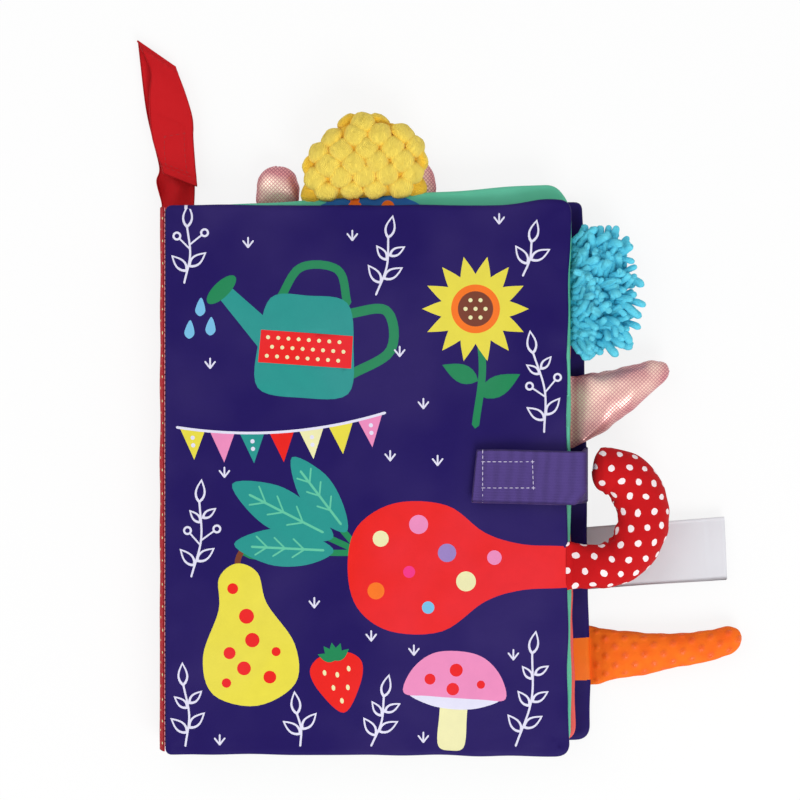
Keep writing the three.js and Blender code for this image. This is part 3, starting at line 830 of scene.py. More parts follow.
# How far in from the edge, and what share of the leaf's half thickness up from its middle: from
# the panel to the seam, on an even edge, and where the lower panel is drawn up over the edge
EVEN_RIM = [(1.7, 0.9), (0.8, 0.8), (0.22, 0.62), (0.0, 0.4), (0.12, 0.2), (0.5, 0.0)]
DRAWN_RIMS = {
    1: [(3.3, 0.93), (2.5, 0.88), (1.95, 0.8), (1.7, 0.7), (1.66, 0.6), (1.8, 0.52)],
    -1: [(1.7, 0.9), (0.8, 0.8), (0.2, 0.5), (0.0, 0.1), (0.35, -0.36), (1.8, -0.52)],
}
# Where a panel has extra rows of points beside its edge, and how far in its even grid begins
EDGE_ROWS = (1.2, 2.8, 4.8)
GRID_INSET = 6.0


def rounded(corners):
    """An outline round corners (x, y, round), counter-clockwise."""
    line = []
    t = np.linspace(0, 1, 9)[:, None]
    for i, (x, y, cut) in enumerate(corners):
        at = np.array([x, y], float)
        start, end = [at + unit(np.array(other[:2], float) - at) * cut
                      for other in (corners[i - 1], corners[(i + 1) % len(corners)])]
        line.append((1 - t) ** 2 * start + 2 * t * (1 - t) * at + t ** 2 * end)
    return np.vstack(line)


def outward(line):
    run = unit(np.roll(line, -1, axis=0) - np.roll(line, 1, axis=0))
    return np.stack([run[:, 1], -run[:, 0]], 1)


def to_edge(points, line, batch=2000):
    """How far each point is from a closed line, and how far along the line its nearest spot is."""
    after = np.roll(line, -1, axis=0) - line
    step = np.linalg.norm(after, axis=1)
    along = np.append(0, np.cumsum(step)[:-1])
    far, place = np.zeros(len(points)), np.zeros(len(points))
    for start in range(0, len(points), batch):
        part = slice(start, start + batch)
        gap = points[part][:, None, :] - line[None, :, :]
        share = np.clip((gap * after).sum(2) / (step ** 2), 0, 1)
        distance = np.linalg.norm(gap - share[..., None] * after, axis=2)
        best = distance.argmin(axis=1)
        rows = np.arange(len(best))
        far[part] = distance[rows, best]
        place[part] = along[best] + share[rows, best] * step[best]
    return far, place


def inside_line(points, line):
    """Which points lie inside a closed line."""
    inside = np.zeros(len(points), bool)
    for a, b in zip(line, np.roll(line, -1, axis=0)):
        crosses = (a[1] > points[:, 1]) != (b[1] > points[:, 1])
        slope = (b[0] - a[0]) / (b[1] - a[1] if b[1] != a[1] else 1e-12)
        inside ^= crosses & (points[:, 0] < a[0] + (points[:, 1] - a[1]) * slope)
    return inside


def cut_panel(line, shapes, ground, step):
    """A flat panel inside a closed line, cut along its print: points, triangles and colours."""
    low, high = line.min(0), line.max(0)
    across = np.arange(low[0], high[0], step)
    rows = np.arange(low[1], high[1], step * 0.866)
    grid = np.array([(x + step / 2 * (r % 2), y) for r, y in enumerate(rows) for x in across])
    extra = np.vstack([grid, *[line - outward(line) * inset for inset in EDGE_ROWS]])
    room = np.repeat([GRID_INSET, *(np.array(EDGE_ROWS) * 0.93)], [len(grid)] + [len(line)] * 3)
    extra = extra[inside_line(extra, line) & (to_edge(extra, line)[0] > room)]
    points = [*line, *extra]
    faces = [list(range(len(line)))]
    for outline, _ in shapes:
        faces.append(list(range(len(points), len(points) + len(outline))))
        points.extend(outline)
    verts, _, triangles, came_from, _, owners = geometry.delaunay_2d_cdt(
        [Vector(point) for point in points], [], faces, 0, 1e-5, True
    )
    colors = [ground] + [color for _, color in shapes]
    kept = [(tuple(t), colors[max(o)]) for t, o in zip(triangles, owners) if 0 in o]
    flat = np.array([tuple(v) for v in verts])
    first_of = {}
    for new, olds in enumerate(came_from):
        for old in olds:
            first_of.setdefault(old, new)
    a, b, c = (flat[[t[k] for t, _ in kept]] for k in range(3))
    area = (b[:, 0] - a[:, 0]) * (c[:, 1] - a[:, 1]) - (b[:, 1] - a[:, 1]) * (c[:, 0] - a[:, 0])
    faces = [t if s > 0 else t[::-1] for (t, _), s in zip(kept, area)]
    used = sorted({i for face in faces for i in face})
    renumber = {old: new for new, old in enumerate(used)}
    faces = [tuple(renumber[i] for i in face) for face in faces]
    ring = [renumber[first_of[i]] for i in range(len(line))]
    return flat[used], faces, [color for _, color in kept], ring


def rim_row(row, way, drawn):
    """Inset and height share of one row of the rim at every point of the outline."""
    even, rolled = np.array(EVEN_RIM[row]), np.array(DRAWN_RIMS[way][row])
    return (even + (rolled - even) * drawn[:, None]).T


def rim_colors(flat, faces, colors, ring):
    """The panel's edge between each two points of the outline, and its most common colour."""
    follows = {(a, b): color for face, color in zip(faces, colors)
               for a, b in zip(face, face[1:] + face[:1])}
    owner = {a: (b, color) for (a, b), color in follows.items() if (b, a) not in follows}
    chains, shades = [], []
    for start, end in zip(ring, ring[1:] + ring[:1]):
        chain, lengths = [start], {}
        while chain[-1] != end:
            following, color = owner[chain[-1]]
            run = np.linalg.norm(flat[following] - flat[chain[-1]])
            lengths[color] = lengths.get(color, 0) + run
            chain.append(following)
        chains.append(chain)
        shades.append(max(lengths, key=lengths.get))
    return chains, shades


def leaf_side(line, drawn, shapes, ground, way, middle, relief, step, first):
    """One side of a leaf, from its panel out over the rim to the ring before the seam."""
    normals = outward(line)
    flat, faces, colors, ring = cut_panel(line - normals * rim_row(0, way, drawn)[0][:, None],
                                          shapes, ground, step)
    far, along = to_edge(flat, line)
    fullness = 1 - np.exp(-np.maximum(far - EVEN_RIM[0][0], 0) / 6)
    bulge = relief(flat[:, 0], flat[:, 1], far, along)
    height = HALF_LEAF * (0.9 + 0.1 * fullness) + bulge
    points = [np.column_stack([flat, middle + way * height])]
    count, base = len(line), len(flat)
    for row in range(1, len(EVEN_RIM) - 1):
        inset, share = rim_row(row, way, drawn)
        lift = HALF_LEAF * share + bulge[ring] * np.maximum(share, 0)
        points.append(np.column_stack([line - normals * inset[:, None], middle + way * lift]))
    chains, shades = rim_colors(flat, faces, colors, ring)
    for i, chain in enumerate(chains):
        faces.append(tuple(chain[::-1]) + (base + i, base + (i + 1) % count))
    rows = len(EVEN_RIM) - 3
    for upper in range(base, base + rows * count, count):
        faces += [(upper + (i + 1) % count, upper + i, upper + count + i,
                   upper + count + (i + 1) % count) for i in range(count)]
    faces = [tuple(first + i for i in face[::way]) for face in faces]
    return np.vstack(points), faces, colors + shades * (rows + 1), first + base + rows * count, shades


def leaf(body, kind, number, corners, prints, slot, reliefs, step=3.2, lift=None,
         fore_drawn=((0, 1), (0, 0))):
    """A padded leaf: two printed panels, the upper one first, joined in a seam all round.

    The lower panel is drawn up over the fore edge by a share that runs through given heights.
    """
    line = resample(rounded(corners), 1.3, closed=True)
    waver = ripples(30 + number, 46, 15)(to_edge(line, line)[1]) * 0.32
    line = line + outward(line) * (waver * smooth(-84, -70, line[:, 0]))[:, None]
    middle = 3 + number * LEAF_RISE
    drawn = smooth(78, 85, line[:, 0]) * np.interp(line[:, 1], *fore_drawn)
    inset, share = rim_row(-1, 1, drawn)
    seam = np.column_stack([line - outward(line) * inset[:, None], middle + HALF_LEAF * share])
    points, faces, colors, rims, count = [], [], [], [], len(line)
    for way, panel, relief in zip((1, -1), prints, reliefs):
        side = leaf_side(line, drawn, *panel, way, middle, relief, step, sum(map(len, points)))
        points.append(side[0])
        faces += side[1]
        colors += side[2]
        rims.append((way, *side[3:]))
    start = sum(map(len, points))
    for i in range(count):
        j = (i + 1) % count
        for way, last, shades in rims:
            faces.append((last + j, last + i, start + i, start + j)[::way])
            colors.append(shades[i])
    points = np.vstack([*points, seam])
    if lift:
        points[:, 2] += lift(points[:, 0], points[:, 1])
    piece = make(f"{body}_{kind}", points, faces, MATERIALS[slot])
    counts = [polygon.loop_total for polygon in piece.data.polygons]
    table = np.array([COLORS[name] for name in colors], np.float32)
    attribute = piece.data.color_attributes.new("print", "FLOAT_COLOR", "CORNER")
    attribute.data.foreach_set("color", np.repeat(table, counts, axis=0).ravel())
    panels = ("outer", "lining") if kind == "leaf" else ("back_page", "front_page")
    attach(piece, body)
    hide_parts(*[f"{body}_{part}" for part in (*panels, "wadding", "crinkle_film")])


def blurred(grid, reach):
    """A grid of numbers, averaged twice over its neighbours each way."""
    kernel = np.ones(2 * reach + 1) / (2 * reach + 1)
    for axis in (0, 1, 0, 1):
        pad = [(reach, reach) if k == axis else (0, 0) for k in (0, 1)]
        padded = np.pad(grid, pad, mode="edge")
        grid = np.apply_along_axis(lambda row: np.convolve(row, kernel, "valid"), axis, padded)
    return grid


def sewn_folds(width, height, cell, frames):
    """Folds of one face of a filled bag of cloth, as a field of x and y, mostly from -1 to 1.

    The bag is simulated as cloth under pressure, cut a little larger than its seam. Its bulge is
    taken off, and what is left are the folds that run in from the seam.
    """
    columns, rows = int(width / cell) + 1, int(height / cell) + 1
    x, y = np.meshgrid(np.linspace(-width / 2, width / 2, columns),
                       np.linspace(-height / 2, height / 2, rows))
    seam = (abs(x) == width / 2) | (abs(y) == height / 2)
    level = np.where(seam, 0, 1.0 + np.random.default_rng(21).normal(0, 0.15, x.shape))
    top = np.stack([x, y, level], -1).reshape(-1, 3)
    inner = np.flatnonzero(~seam.ravel())
    below = np.arange(len(top))
    below[inner] = len(top) + np.arange(len(inner))
    faces = grid_faces(rows, columns)
    faces += [tuple(int(below[i]) for i in face[::-1]) for face in faces]
    bag = make("sewn_bag", np.vstack([top, top[inner] * [1, 1, -1]]), faces, MATERIALS["mint"])
    group = bag.vertex_groups.new(name="seam")
    group.add([int(i) for i in np.flatnonzero(seam.ravel())], 1.0, "REPLACE")
    settings = bag.modifiers.new("cloth", "CLOTH").settings
    for name, value in (("quality", 4), ("mass", 0.1), ("tension_stiffness", 25),
                        ("compression_stiffness", 25), ("shear_stiffness", 8),
                        ("bending_stiffness", 0.08), ("use_pressure", True),
                        ("uniform_pressure_force", 4.0), ("shrink_min", -0.03),
                        ("vertex_group_mass", "seam")):
        setattr(settings, name, value)
    settings.effector_weights.gravity = 0
    for number in range(1, frames + 1):
        bpy.context.scene.frame_set(number)
    settled = bag.evaluated_get(bpy.context.evaluated_depsgraph_get())
    spots = np.zeros(len(settled.data.vertices) * 3)
    settled.data.vertices.foreach_get("co", spots)
    bulge = spots.reshape(-1, 3)[:len(top), 2].reshape(rows, columns) / MM
    bpy.data.objects.remove(bag)
    bpy.context.scene.frame_set(1)
    folds = blurred(bulge, 1) - blurred(bulge, 4)
    folds = np.clip(folds / (folds[3:-3, 3:-3].std() * 1.6), -1.6, 1.6)

    def field(px, py):
        c = np.clip((px + width / 2) / width * (columns - 1), 0, columns - 1.001)
        r = np.clip((py + height / 2) / height * (rows - 1), 0, rows - 1.001)
        i, j = r.astype(int), c.astype(int)
        u, v = c - j, r - i
        low = folds[i, j] * (1 - u) + folds[i, j + 1] * u
        high = folds[i + 1, j] * (1 - u) + folds[i + 1, j + 1] * u
        return low * (1 - v) + high * v

    return field


FOLDS = sewn_folds(172, 232, 4.0, 24)


def relief(seed, pucker, broad, raised=0.0, flat_spot=None, flip=(1, 1)):
    """Puckers that fade away from the seam, folds, and broad soft dents in the rest of a panel."""
    edge, wide = ripples(seed, 34, 8), ripples(seed + 1, 130, 50)

    def field(x, y, far, along):
        dips = (edge(along) - 1.0) * pucker * np.exp(-far / 9)
        body = (wide(x, y) - 1.0 + raised) * broad * smooth(2, 26, far)
        body = body + (FOLDS(x * flip[0], y * flip[1]) - 0.4) * broad * 0.9 * smooth(1, 9, far)
        total = dips * smooth(-1, 3, far) + body
        if flat_spot:
            x0, x1, y0, y1 = flat_spot
            within = smooth(x0 - 12, x0, x) * (1 - smooth(x1, x1 + 12, x))
            within = within * smooth(y0 - 12, y0, y) * (1 - smooth(y1, y1 + 12, y))
            total = total * (1 - within) + np.minimum(total, -0.15) * within
        return total

    return field


def fore_corners(x, y):
    """The fore corners of the front cover stand up a little."""
    top = 2.2 * smooth(46, 86, x) * smooth(70, 118, y)
    return top + 0.7 * smooth(60, 86, x) * smooth(-80, -116, y)


COVER_BOUND, PAGE_BOUND = -85.0, -85.95

leaf("back_cover", "leaf", 0,
     [(COVER_BOUND, -113, 2.8), (96.2, -113, 7), (92.5, 118.8, 3.5), (COVER_BOUND, 117.2, 2.8)],
     [(back_inside_print(-116), "indigo"), (page_print("indigo", 8, -116), "indigo")], "indigo",
     [relief(41, 0.5, 0.3, flip=(-1, 1)), relief(44, 0.4, 0.18, -0.8)])
leaf("leaf_3", "pages", 1,
     [(PAGE_BOUND, -112, 2.8), (89.4, -112, 7), (87.2, -30, 30), (86.8, 116.2, 3.5),
      (PAGE_BOUND, 115.4, 2.8)],
     [(page_print("coral", seed, -115), "coral") for seed in (5, 6)], "coral",
     [relief(51, 0.5, 0.3, flip=(1, -1)), relief(54, 0.5, 0.3)])
leaf("leaf_2", "pages", 2,
     [(PAGE_BOUND, -113.5, 2.8), (86.8, -113.5, 7), (86.8, 116.5, 6), (80.2, 125.3, 4.5),
      (21.2, 121.3, 21), (-65.2, 116.1, 14), (PAGE_BOUND, 115.5, 2.8)],
     [(page_print("mint", seed, -116), "mint") for seed in (3, 4)], "mint",
     [relief(61, 0.5, 0.3, flip=(-1, -1)), relief(64, 0.5, 0.3, flip=(-1, 1))])
leaf("front_cover", "leaf", 3,
     [(COVER_BOUND, -116.4, 2.8), (86, -117, 6), (86, 100, 12), (86.6, 117.6, 5), (76, 118.6, 6),
      (62, 115.9, 9), (COVER_BOUND, 115.9, 2.8)],
     [(front_print(), "indigo"), (page_print("mint", 2, -118), "mint")], "indigo",
     [relief(71, 0.75, 0.5, 0.8, (46, 88, -14, 17)), relief(74, 0.5, 0.3, flip=(1, -1))],
     2.8, fore_corners,
     ((-112, -98, -60, -15, 15, 40, 75, 100, 110), (0, 0.6, 0.55, 0.6, 0.95, 0.85, 0.5, 0.3, 0)))


# Spine strip


def spine_strip():
    """Bowed cloth between the seams of the two covers, with a little slack."""
    low, high, seam = 3.2, 22.0, -85.7
    share, y = np.linspace(0, 1, 17), np.linspace(-115.0, 115.4, 150)
    bow = (2.2 + 0.3 * ripples(91, 60, 16)(y))[:, None] * np.sin(math.pi * share) ** 0.8
    y, level = np.meshgrid(y, low + (high - low) * share, indexing="ij")
    grid = np.stack([seam - bow, y, level], -1)
    piece = ribbon("spine_strip_cloth", grid, 0.7, MATERIALS["spine"])
    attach(piece, "spine")
    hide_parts("spine_strip")
    for body, z, side in (("front_cover", 23.6, "upper"), ("back_cover", 3.0, "lower")):
        line = [(-85.25, along, z) for along in np.linspace(-114, 114, 90)]
        name = f"spine_{side}_stitches"
        sewing = stitches(name, [line], MATERIALS["rose_thread"], 2.2, 2.0, 0.16)
        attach(sewing, body)


spine_strip()


# Straps


def sewn(place, start, finish, count=24):
    """A line of points on a strap from one place to another, in the strap's own measures."""
    start, finish = np.array(start), np.array(finish)
    return np.array([place(*(start + (finish - start) * t)) for t in np.linspace(0, 1, count)])


def closure_strap():
    """Ribbed webbing from the fore edge of the back cover, over the leaves to the front."""
    width, middle_y = 23.0, 1.5
    root, fold_x, top, round_fold, flap_reach = (94.6, 1.9), 92.2, 28.6, 1.6, 46.6
    turn = np.linspace(0, math.pi / 2, 9)
    fold = [fold_x, top] + round_fold * np.stack([np.cos(turn) - 1, np.sin(turn) - 1], 1)
    line = resample(np.vstack([[root], fold, [(fold_x - flap_reach, top)]]), 0.8)
    x, z = line[:, :1], line[:, 1:]
    across = np.linspace(-1, 1, 25)[None, :]
    side = across * width / 2
    flap, up = smooth(fold_x - 2, fold_x - 10, x), smooth(4, 20, z)
    end = smooth(fold_x - 40, fold_x - 47, x)
    tape = smooth(48, 51, x) * smooth(72, 69, x) * smooth(9, 6, np.abs(side))
    waves = (ripples(101, 30, 11)(x, side) * 0.36 + 0.2) * flap
    waves = waves + 0.24 * np.sin(x * TAU / 5.3 + side * 0.06) * tape
    curl = 0.5 * flap * np.abs(across) ** 4
    slant = smooth(fold_x - 14, fold_x - 2, x) * smooth(8, 24, z)
    dent = np.sin(math.pi * smooth(4, 30, z)) * (1 - flap)
    grid = np.stack(np.broadcast_arrays(
        x + flap * across * 1.1 - slant * 4.6 * np.clip((-0.5 - across) / 0.5, 0, 1)
        - dent * (1.1 + 0.35 * np.sin(across * 2.1 + 0.6)),
        middle_y - 0.9 * smooth(fold_x - 44, fold_x, x) * up
        + side * (1 - 0.045 * up - 0.012 * end),
        z + waves + curl - 0.9 * end,
    ), -1)
    piece = ribbon("closure_strap", grid[:, ::-1], 1.15, MATERIALS["webbing"])
    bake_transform(piece)
    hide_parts("closure_strap_wall", "closure_strap_flap")

    def above(at_x, at_y):
        """A point just over the webbing."""
        row = np.argmin((line[:, 0] - at_x) ** 2 + (line[:, 1] - top) ** 2)
        return at_x, at_y, grid[row, np.argmin(abs(side + middle_y - at_y)), 2] + 0.66

    corners = [(49.2, -3.4), (70.2, -3.4), (69.8, 7.6), (49.2, 7.6)]
    lines = [sewn(above, a, b) for a, b in zip(corners, corners[1:])]
    lines.append(sewn(above, (48.9, -8.8), (48.9, 11.8)))
    sewing = stitches("closure_strap_stitches", lines, MATERIALS["pale_thread"], 2.2, 1.7, 0.2)
    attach(sewing, "strap_flap")


closure_strap()


def tube(path, radii, sides):
    """A round tube about a path of points, none of its runs along Y: points and faces."""
    run = unit(np.gradient(path, axis=0))
    first = unit(np.cross(run, [0.0, 1.0, 0.02]))
    second = np.cross(run, first)
    angle = np.linspace(0, TAU, sides, endpoint=False)[None, :, None]
    rings = first[:, None] * np.cos(angle) + second[:, None] * np.sin(angle)
    return capped(path[:, None] + radii[:, None, None] * rings, path[[0, -1]])


def tapes(name, node, centre, size, flip, bodies, material):
    """Loop tape and the hook tape over it: thin patches with small loops or hooks on them."""
    flip = math.radians(flip)
    for kind, body, lift, way, pitch, arc in (("loop", bodies[0], 0.0, 1, 1.15, math.pi),
                                              ("hook", bodies[1], 1.3, -1, 1.4, 2.3)):
        middle = np.array(centre) + [0, 0, lift]
        x, y = [np.linspace(-reach / 2, reach / 2, count) for reach, count in zip(size, (24, 16))]
        flat = np.stack([*np.meshgrid(x, y), np.zeros((16, 24))], 2)
        tape = ribbon(f"{name}_{kind}_tape", turned(flat, flip) + middle, 0.8, material)
        x, y = [np.arange(-reach / 2 + 1.2, reach / 2 - 0.8, pitch) for reach in size]
        spots = np.array([(a, b, way * 0.35) for a in x for b in y])
        angle = np.linspace(0, arc, 7)
        path = np.stack([0.3 * (1 - np.cos(angle)), 0 * angle, 0.42 * np.sin(angle) + 0.05], 1)
        shape = make(f"{name}_{kind}_one", *tube(path, np.full(len(path), 0.09), 5), material)
        teeth = planted(f"{name}_{kind}_tape_teeth", turned(spots, flip) + middle,
                        [(0, 0, way)] * len(spots), [shape], (0.9, 1.15), math.pi, material)
        for piece in (tape, teeth):
            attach(piece, body)
        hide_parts(f"{node}_{kind}_patch")


tapes("closure", "closure", (66.27, 1.5, 25.95), (30, 19), 0.0, ("front_cover", "strap_flap"),
      MATERIALS["hooks"])

# The hanging strap's edges, as its back ply and its front ply lie: left and right, base end first
BACK_EDGES = [
    [(-88.2, 114.9), (-88.4, 118.7), (-90.6, 127.5), (-89.3, 133.3), (-92.3, 146.2),
     (-95.3, 160.4), (-98.4, 186.9)],
    [(-74.7, 114.9), (-74.7, 118.5), (-74.6, 122.6), (-74.4, 135.0), (-75.2, 146.0),
     (-75.6, 154.4), (-82.4, 175.4)],
]
FRONT_EDGES = [
    [(-87.2, 130.6), (-89.6, 138.2), (-92.0, 146.0), (-93.2, 156.0), (-93.3, 165.2),
     (-92.8, 175.0), (-98.2, 187.0)],
    [(-72.9, 125.1), (-73.4, 130.0), (-73.9, 135.0), (-74.7, 146.0), (-75.0, 154.4),
     (-78.0, 165.1), (-82.0, 175.8)],
]
# The row of the back ply, under the hook and loop tape, where the loop's cloth meets the root's
PATCH_ROW = 27


def between(edges, rows, columns=23):
    """An even grid of points between two edges, and how far up and across (-1 to 1) each lies."""
    up, across = np.linspace(0, 1, rows), np.linspace(0, 1, columns)[None, :, None]
    sides = [resample(through(edge, 10), 0.5) for edge in edges]
    left, right = [at_places(side, np.linspace(0, 1, len(side)), up)[:, None] for side in sides]
    flat = left * (1 - across) + right * across
    return flat[..., 0], flat[..., 1], up[:, None], across[..., 0] * 2 - 1


def hanging_strap():
    """Red strap sewn into the top of the back cover, folded over on itself and pressed shut."""
    soft, creases = ripples(111, 40, 14), ripples(112, 16, 7)
    x, y, up, across = between(BACK_EDGES, 78)
    gather = 1.3 * np.exp(-((up - 0.14) / 0.07) ** 2) * np.sin(across * 4.2 + 1.0)
    back = np.stack([x, y, 3.0 + gather + soft(x, y) * 0.3 * smooth(0, 0.1, up)
                     + 0.7 * smooth(0.5, 0.8, up) * smooth(-0.45, -1, across)], 2)

    x, y, up, across = between(FRONT_EDGES, 70)
    over_patch = smooth(0.1, 0.16, up) * smooth(0.5, 0.44, up)
    over_patch = over_patch * smooth(0.72, 0.56, np.abs(across + 0.06))
    front = np.stack([x, y, 7.15 + 0.8 * smooth(0.075, 0.05, up) + 0.45 * over_patch
                      + soft(x + 9, y) * 0.4 * smooth(0.1, 0.3, up) + creases(x * 0.6, y) * 0.12
                      - 0.6 * smooth(0.35, 0.75, up) * smooth(-0.3, -1, across)
                      + 0.8 * smooth(0.25, 0.0, up) * smooth(0.3, 1.0, across)
                      - 1.4 * smooth(0.93, 1.0, up)], 2)
    out = unit((front[-1] - front[-4]) * [1, 1, 0])
    roll = [front[-1] + (back[-1] - front[-1]) * (1 - math.cos(turn)) / 2
            + out * (1.1 * math.sin(turn)) for turn in np.linspace(0, math.pi, 8)[1:-1]]
    folded = np.concatenate([front, roll, back[:PATCH_ROW:-1]])
    sewn_in = ribbon("hanging_strap_root", back[:PATCH_ROW + 2, ::-1], 0.8, MATERIALS["red"])
    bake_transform(sewn_in)
    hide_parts("hanging_strap_back_ply")
    # Only height parts the plies of this one, so that neither comes apart where it opens
    loop = ribbon("hanging_strap_loop", folded[:, ::-1], 0.8, MATERIALS["red"])
    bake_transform(loop)
    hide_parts("hanging_strap_front_ply")

    def over(share, side):
        """A point just over the front ply, from 0 at its hem to 1, and from -1 to 1 across it."""
        row, column = share * (len(front) - 1), (side + 1) / 2 * (front.shape[1] - 1)
        i, j = int(row), int(column)
        corner = front[i:i + 2, j:j + 2]
        on = np.einsum("i,j,ijk->k", [1 - row + i, row - i], [1 - column + j, column - j], corner)
        return on + [0, 0, 0.4]

    corners = [(0.09, -0.68), (0.09, 0.5), (0.41, 0.6), (0.32, -0.36), (0.09, -0.68)]
    lines = [sewn(over, a, b, 22) for a, b in zip(corners, corners[1:])]
    lines.append(sewn(over, (0.06, -0.94), (0.06, 0.94), 30))
    sewing = stitches("hanging_strap_stitches", lines, MATERIALS["red_thread"], 2.2, 1.8, 0.16)
    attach(sewing, "hanging_strap_end")


hanging_strap()
tapes("hanging", "hanging_strap", (-84.2, 139.9, 4.25), (15, 9), 97.4,
      ("hanging_strap", "hanging_strap_end"), MATERIALS["red_hooks"])


# Tag


def tag():
    """A folded satin label, its two plies joined in the fold at its far end."""
    length, width = 58.6, 26.5
    turn = np.linspace(0, math.pi, 7)[1:-1]
    out = np.linspace(-1.2, length, 46)
    along = np.concatenate([out, length + 0.5 * np.sin(turn), out[::-1]])[:, None]
    level = np.concatenate([0 * out + 1, np.cos(turn), 0 * out - 1])[:, None]
    across = np.linspace(-1, 1, 19)[None, :]
    x = along + 0.4 * across
    y = across * width / 2 - 0.6 * (level < 0) * smooth(10, 60, along)
    crease = np.exp(-((x - 52.4) / 0.8) ** 2)
    top = ripples(121, 70, 30)(x, y) * 1.1 + 0.7 - 0.35 * crease
    low = ripples(124, 60, 26)(x, y) * 0.7 - 0.4
    share, fade = level / 2 + 0.5, smooth(2, 22, along)
    gap = 0.35 + 0.65 * fade * (1 - 0.6 * smooth(48, 58, along))
    z = 0.75 * level * gap + (top * share + low * (1 - share)) * fade
    grid = turned(np.stack([x, y, z], -1), math.radians(4.4)) + [95.247, -34.495, 3.5]
    piece = ribbon("satin_tag", grid[:, ::-1], 0.35, MATERIALS["satin"])
    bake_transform(piece)
    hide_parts("tag")


tag()


# Tails


class Tail:
    """A stuffed tail in its seam's frame: a row of oval sections made smooth.

    A section is (centre x, y, z, heading, half breadth, half depth), in millimetres and radians.
    """

    def __init__(self, sections, seat, turn, step, sides):
        self.rows, self.sides = resample(through(sections, 10), step), sides
        self.seat, self.turn = np.array(seat), math.radians(turn)
        self.along = length_along(self.rows[:, :3])
        self.angle = np.linspace(0, TAU, sides, endpoint=False)
        self.aside = np.stack([-np.sin(self.rows[:, 3]), np.cos(self.rows[:, 3])], -1)[:, None]

    def grid(self, relief=None, pinch=0.45):
        """Points round every section; relief(along, angle) moves them out."""
        half_b, half_d = self.rows[:, 4, None], self.rows[:, 5, None]
        c, s = np.cos(self.angle), np.sin(self.angle)
        seam = np.exp(-(s * half_d / 0.9) ** 2) * pinch * smooth(0, 1.5, half_d)
        points = np.tile(self.rows[:, None, :3], (1, self.sides, 1))
        points[..., :2] += self.aside * ((half_b - seam) * c)[..., None]
        points[..., 2] += half_d * s
        if relief:
            points += self.normals(points) * relief(self.along[:, None], self.angle)[..., None]
        return points

    @staticmethod
    def normals(points):
        around = np.roll(points, -1, axis=1) - np.roll(points, 1, axis=1)
        return unit(np.cross(around, np.gradient(points, axis=0)))

    def placed(self, points):
        return turned(points, self.turn) + self.seat

    def cloth_lengths(self, points):
        """Lengths on the two flat panels that the cover is cut from, met along the sides."""
        step = np.linalg.norm(np.roll(points, -1, axis=1) - points, axis=2)
        reach = np.zeros(points.shape[:2])
        for way in (1, -1):
            for middle in (self.sides // 4, 3 * (self.sides // 4)):
                total = np.zeros(len(points))
                for j in [middle + way * i for i in range(1, self.sides // 4 + 1)]:
                    total += step[:, (j - (way > 0)) % self.sides]
                    right = np.cos(self.angle[j % self.sides]) >= 0
                    reach[:, j % self.sides] = total if right else -total
        return self.rows[:, None, :2] + self.aside * reach[..., None]

    def piece(self, name, material, relief, values=None, pinch=0.45):
        points = self.grid(relief, pinch)
        ends = self.placed(points.mean(axis=1)[[0, -1]])
        spots, faces = capped(self.placed(points), ends)
        lengths = np.vstack([self.cloth_lengths(points).reshape(-1, 2), self.rows[[0, -1], :2]])
        numbers = {key: np.append(field(self.along[:, None], self.angle[None, :]), [0, 0])
                   for key, field in (values or {}).items()}
        return make(name, spots, [face[::-1] for face in faces], material, lengths, numbers)

    def spots(self, pitch, rise, start, first=0):
        """Points in staggered rows, counted from the middle of the top, and their normals.

        The first row has a point in the middle (0) or two beside it (1).
        """
        points = self.grid()
        normals, top = self.normals(points), self.sides // 4
        places, facings = [], []
        for row, reach in enumerate(np.arange(start, self.along[-1], rise)):
            i = int(np.argmin(abs(self.along - reach)))
            ring = np.roll(points[i], -top, axis=0)
            at = length_along(np.vstack([ring, ring[:1]]))
            far = np.arange(0.5 * ((row + first) % 2), at[-1] / 2 / pitch - 0.45) * pitch
            wanted = sorted({*far, *(at[-1] - far[far > 0])})
            if not len(far) or at[-1] - 2 * far[-1] > 1.4 * pitch:
                wanted.append(at[-1] / 2)
            for place in wanted:
                j = (int(np.argmin(abs(at - place))) + top) % self.sides
                places.append(points[i, j])
                facings.append(normals[i, j])
        return self.placed(np.array(places)), turned(np.array(facings), self.turn)


def straight(reach, breadth, depth, sewn_in, shares, seam=1.3):
    """Sections of a tail that runs straight out, from rows of shares, and starts in its seam."""
    rows = [
        (reach * out, breadth * aside, depth * up, 0.0, breadth * wide / 2,
         seam if out == 0 else depth * deep / 2)
        for out, aside, up, wide, deep in shares
    ]
    return np.array([(-sewn_in, *rows[0][1:5], seam * 0.7), *rows])


def stuffed(seed, pucker, length, soft, around, dents, fade, more=None):
    """Gathers beside a tail's side seams and where it is sewn in, and soft dents in the rest."""
    ripple, base = ripples(seed, length * 2, length * 0.7), ripples(seed + 1, 3.2, 1.2)

    def field(along, angle):
        beside = ripple(along, angle * 2) * np.exp(-(np.sin(angle) / 0.45) ** 2)
        sewn_in = base(angle, along * 0.02) * np.exp(-along / 7.2) * 1.1
        total = (beside + sewn_in) * pucker * smooth(0, 1.5, along)
        total = total + soft(along, angle * around) * dents * smooth(0, fade, along)
        return total + more(along, angle) if more else total

    return field


def dress(piece, tail_name, start, end, fill):
    """Bakes a piece where it stands; a padded one replaces the tail's solids."""
    [v * MM for v in start]
    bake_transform(piece)
    if fill:
        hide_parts(f"{tail_name}_cloth", f"{tail_name}_stuffing")


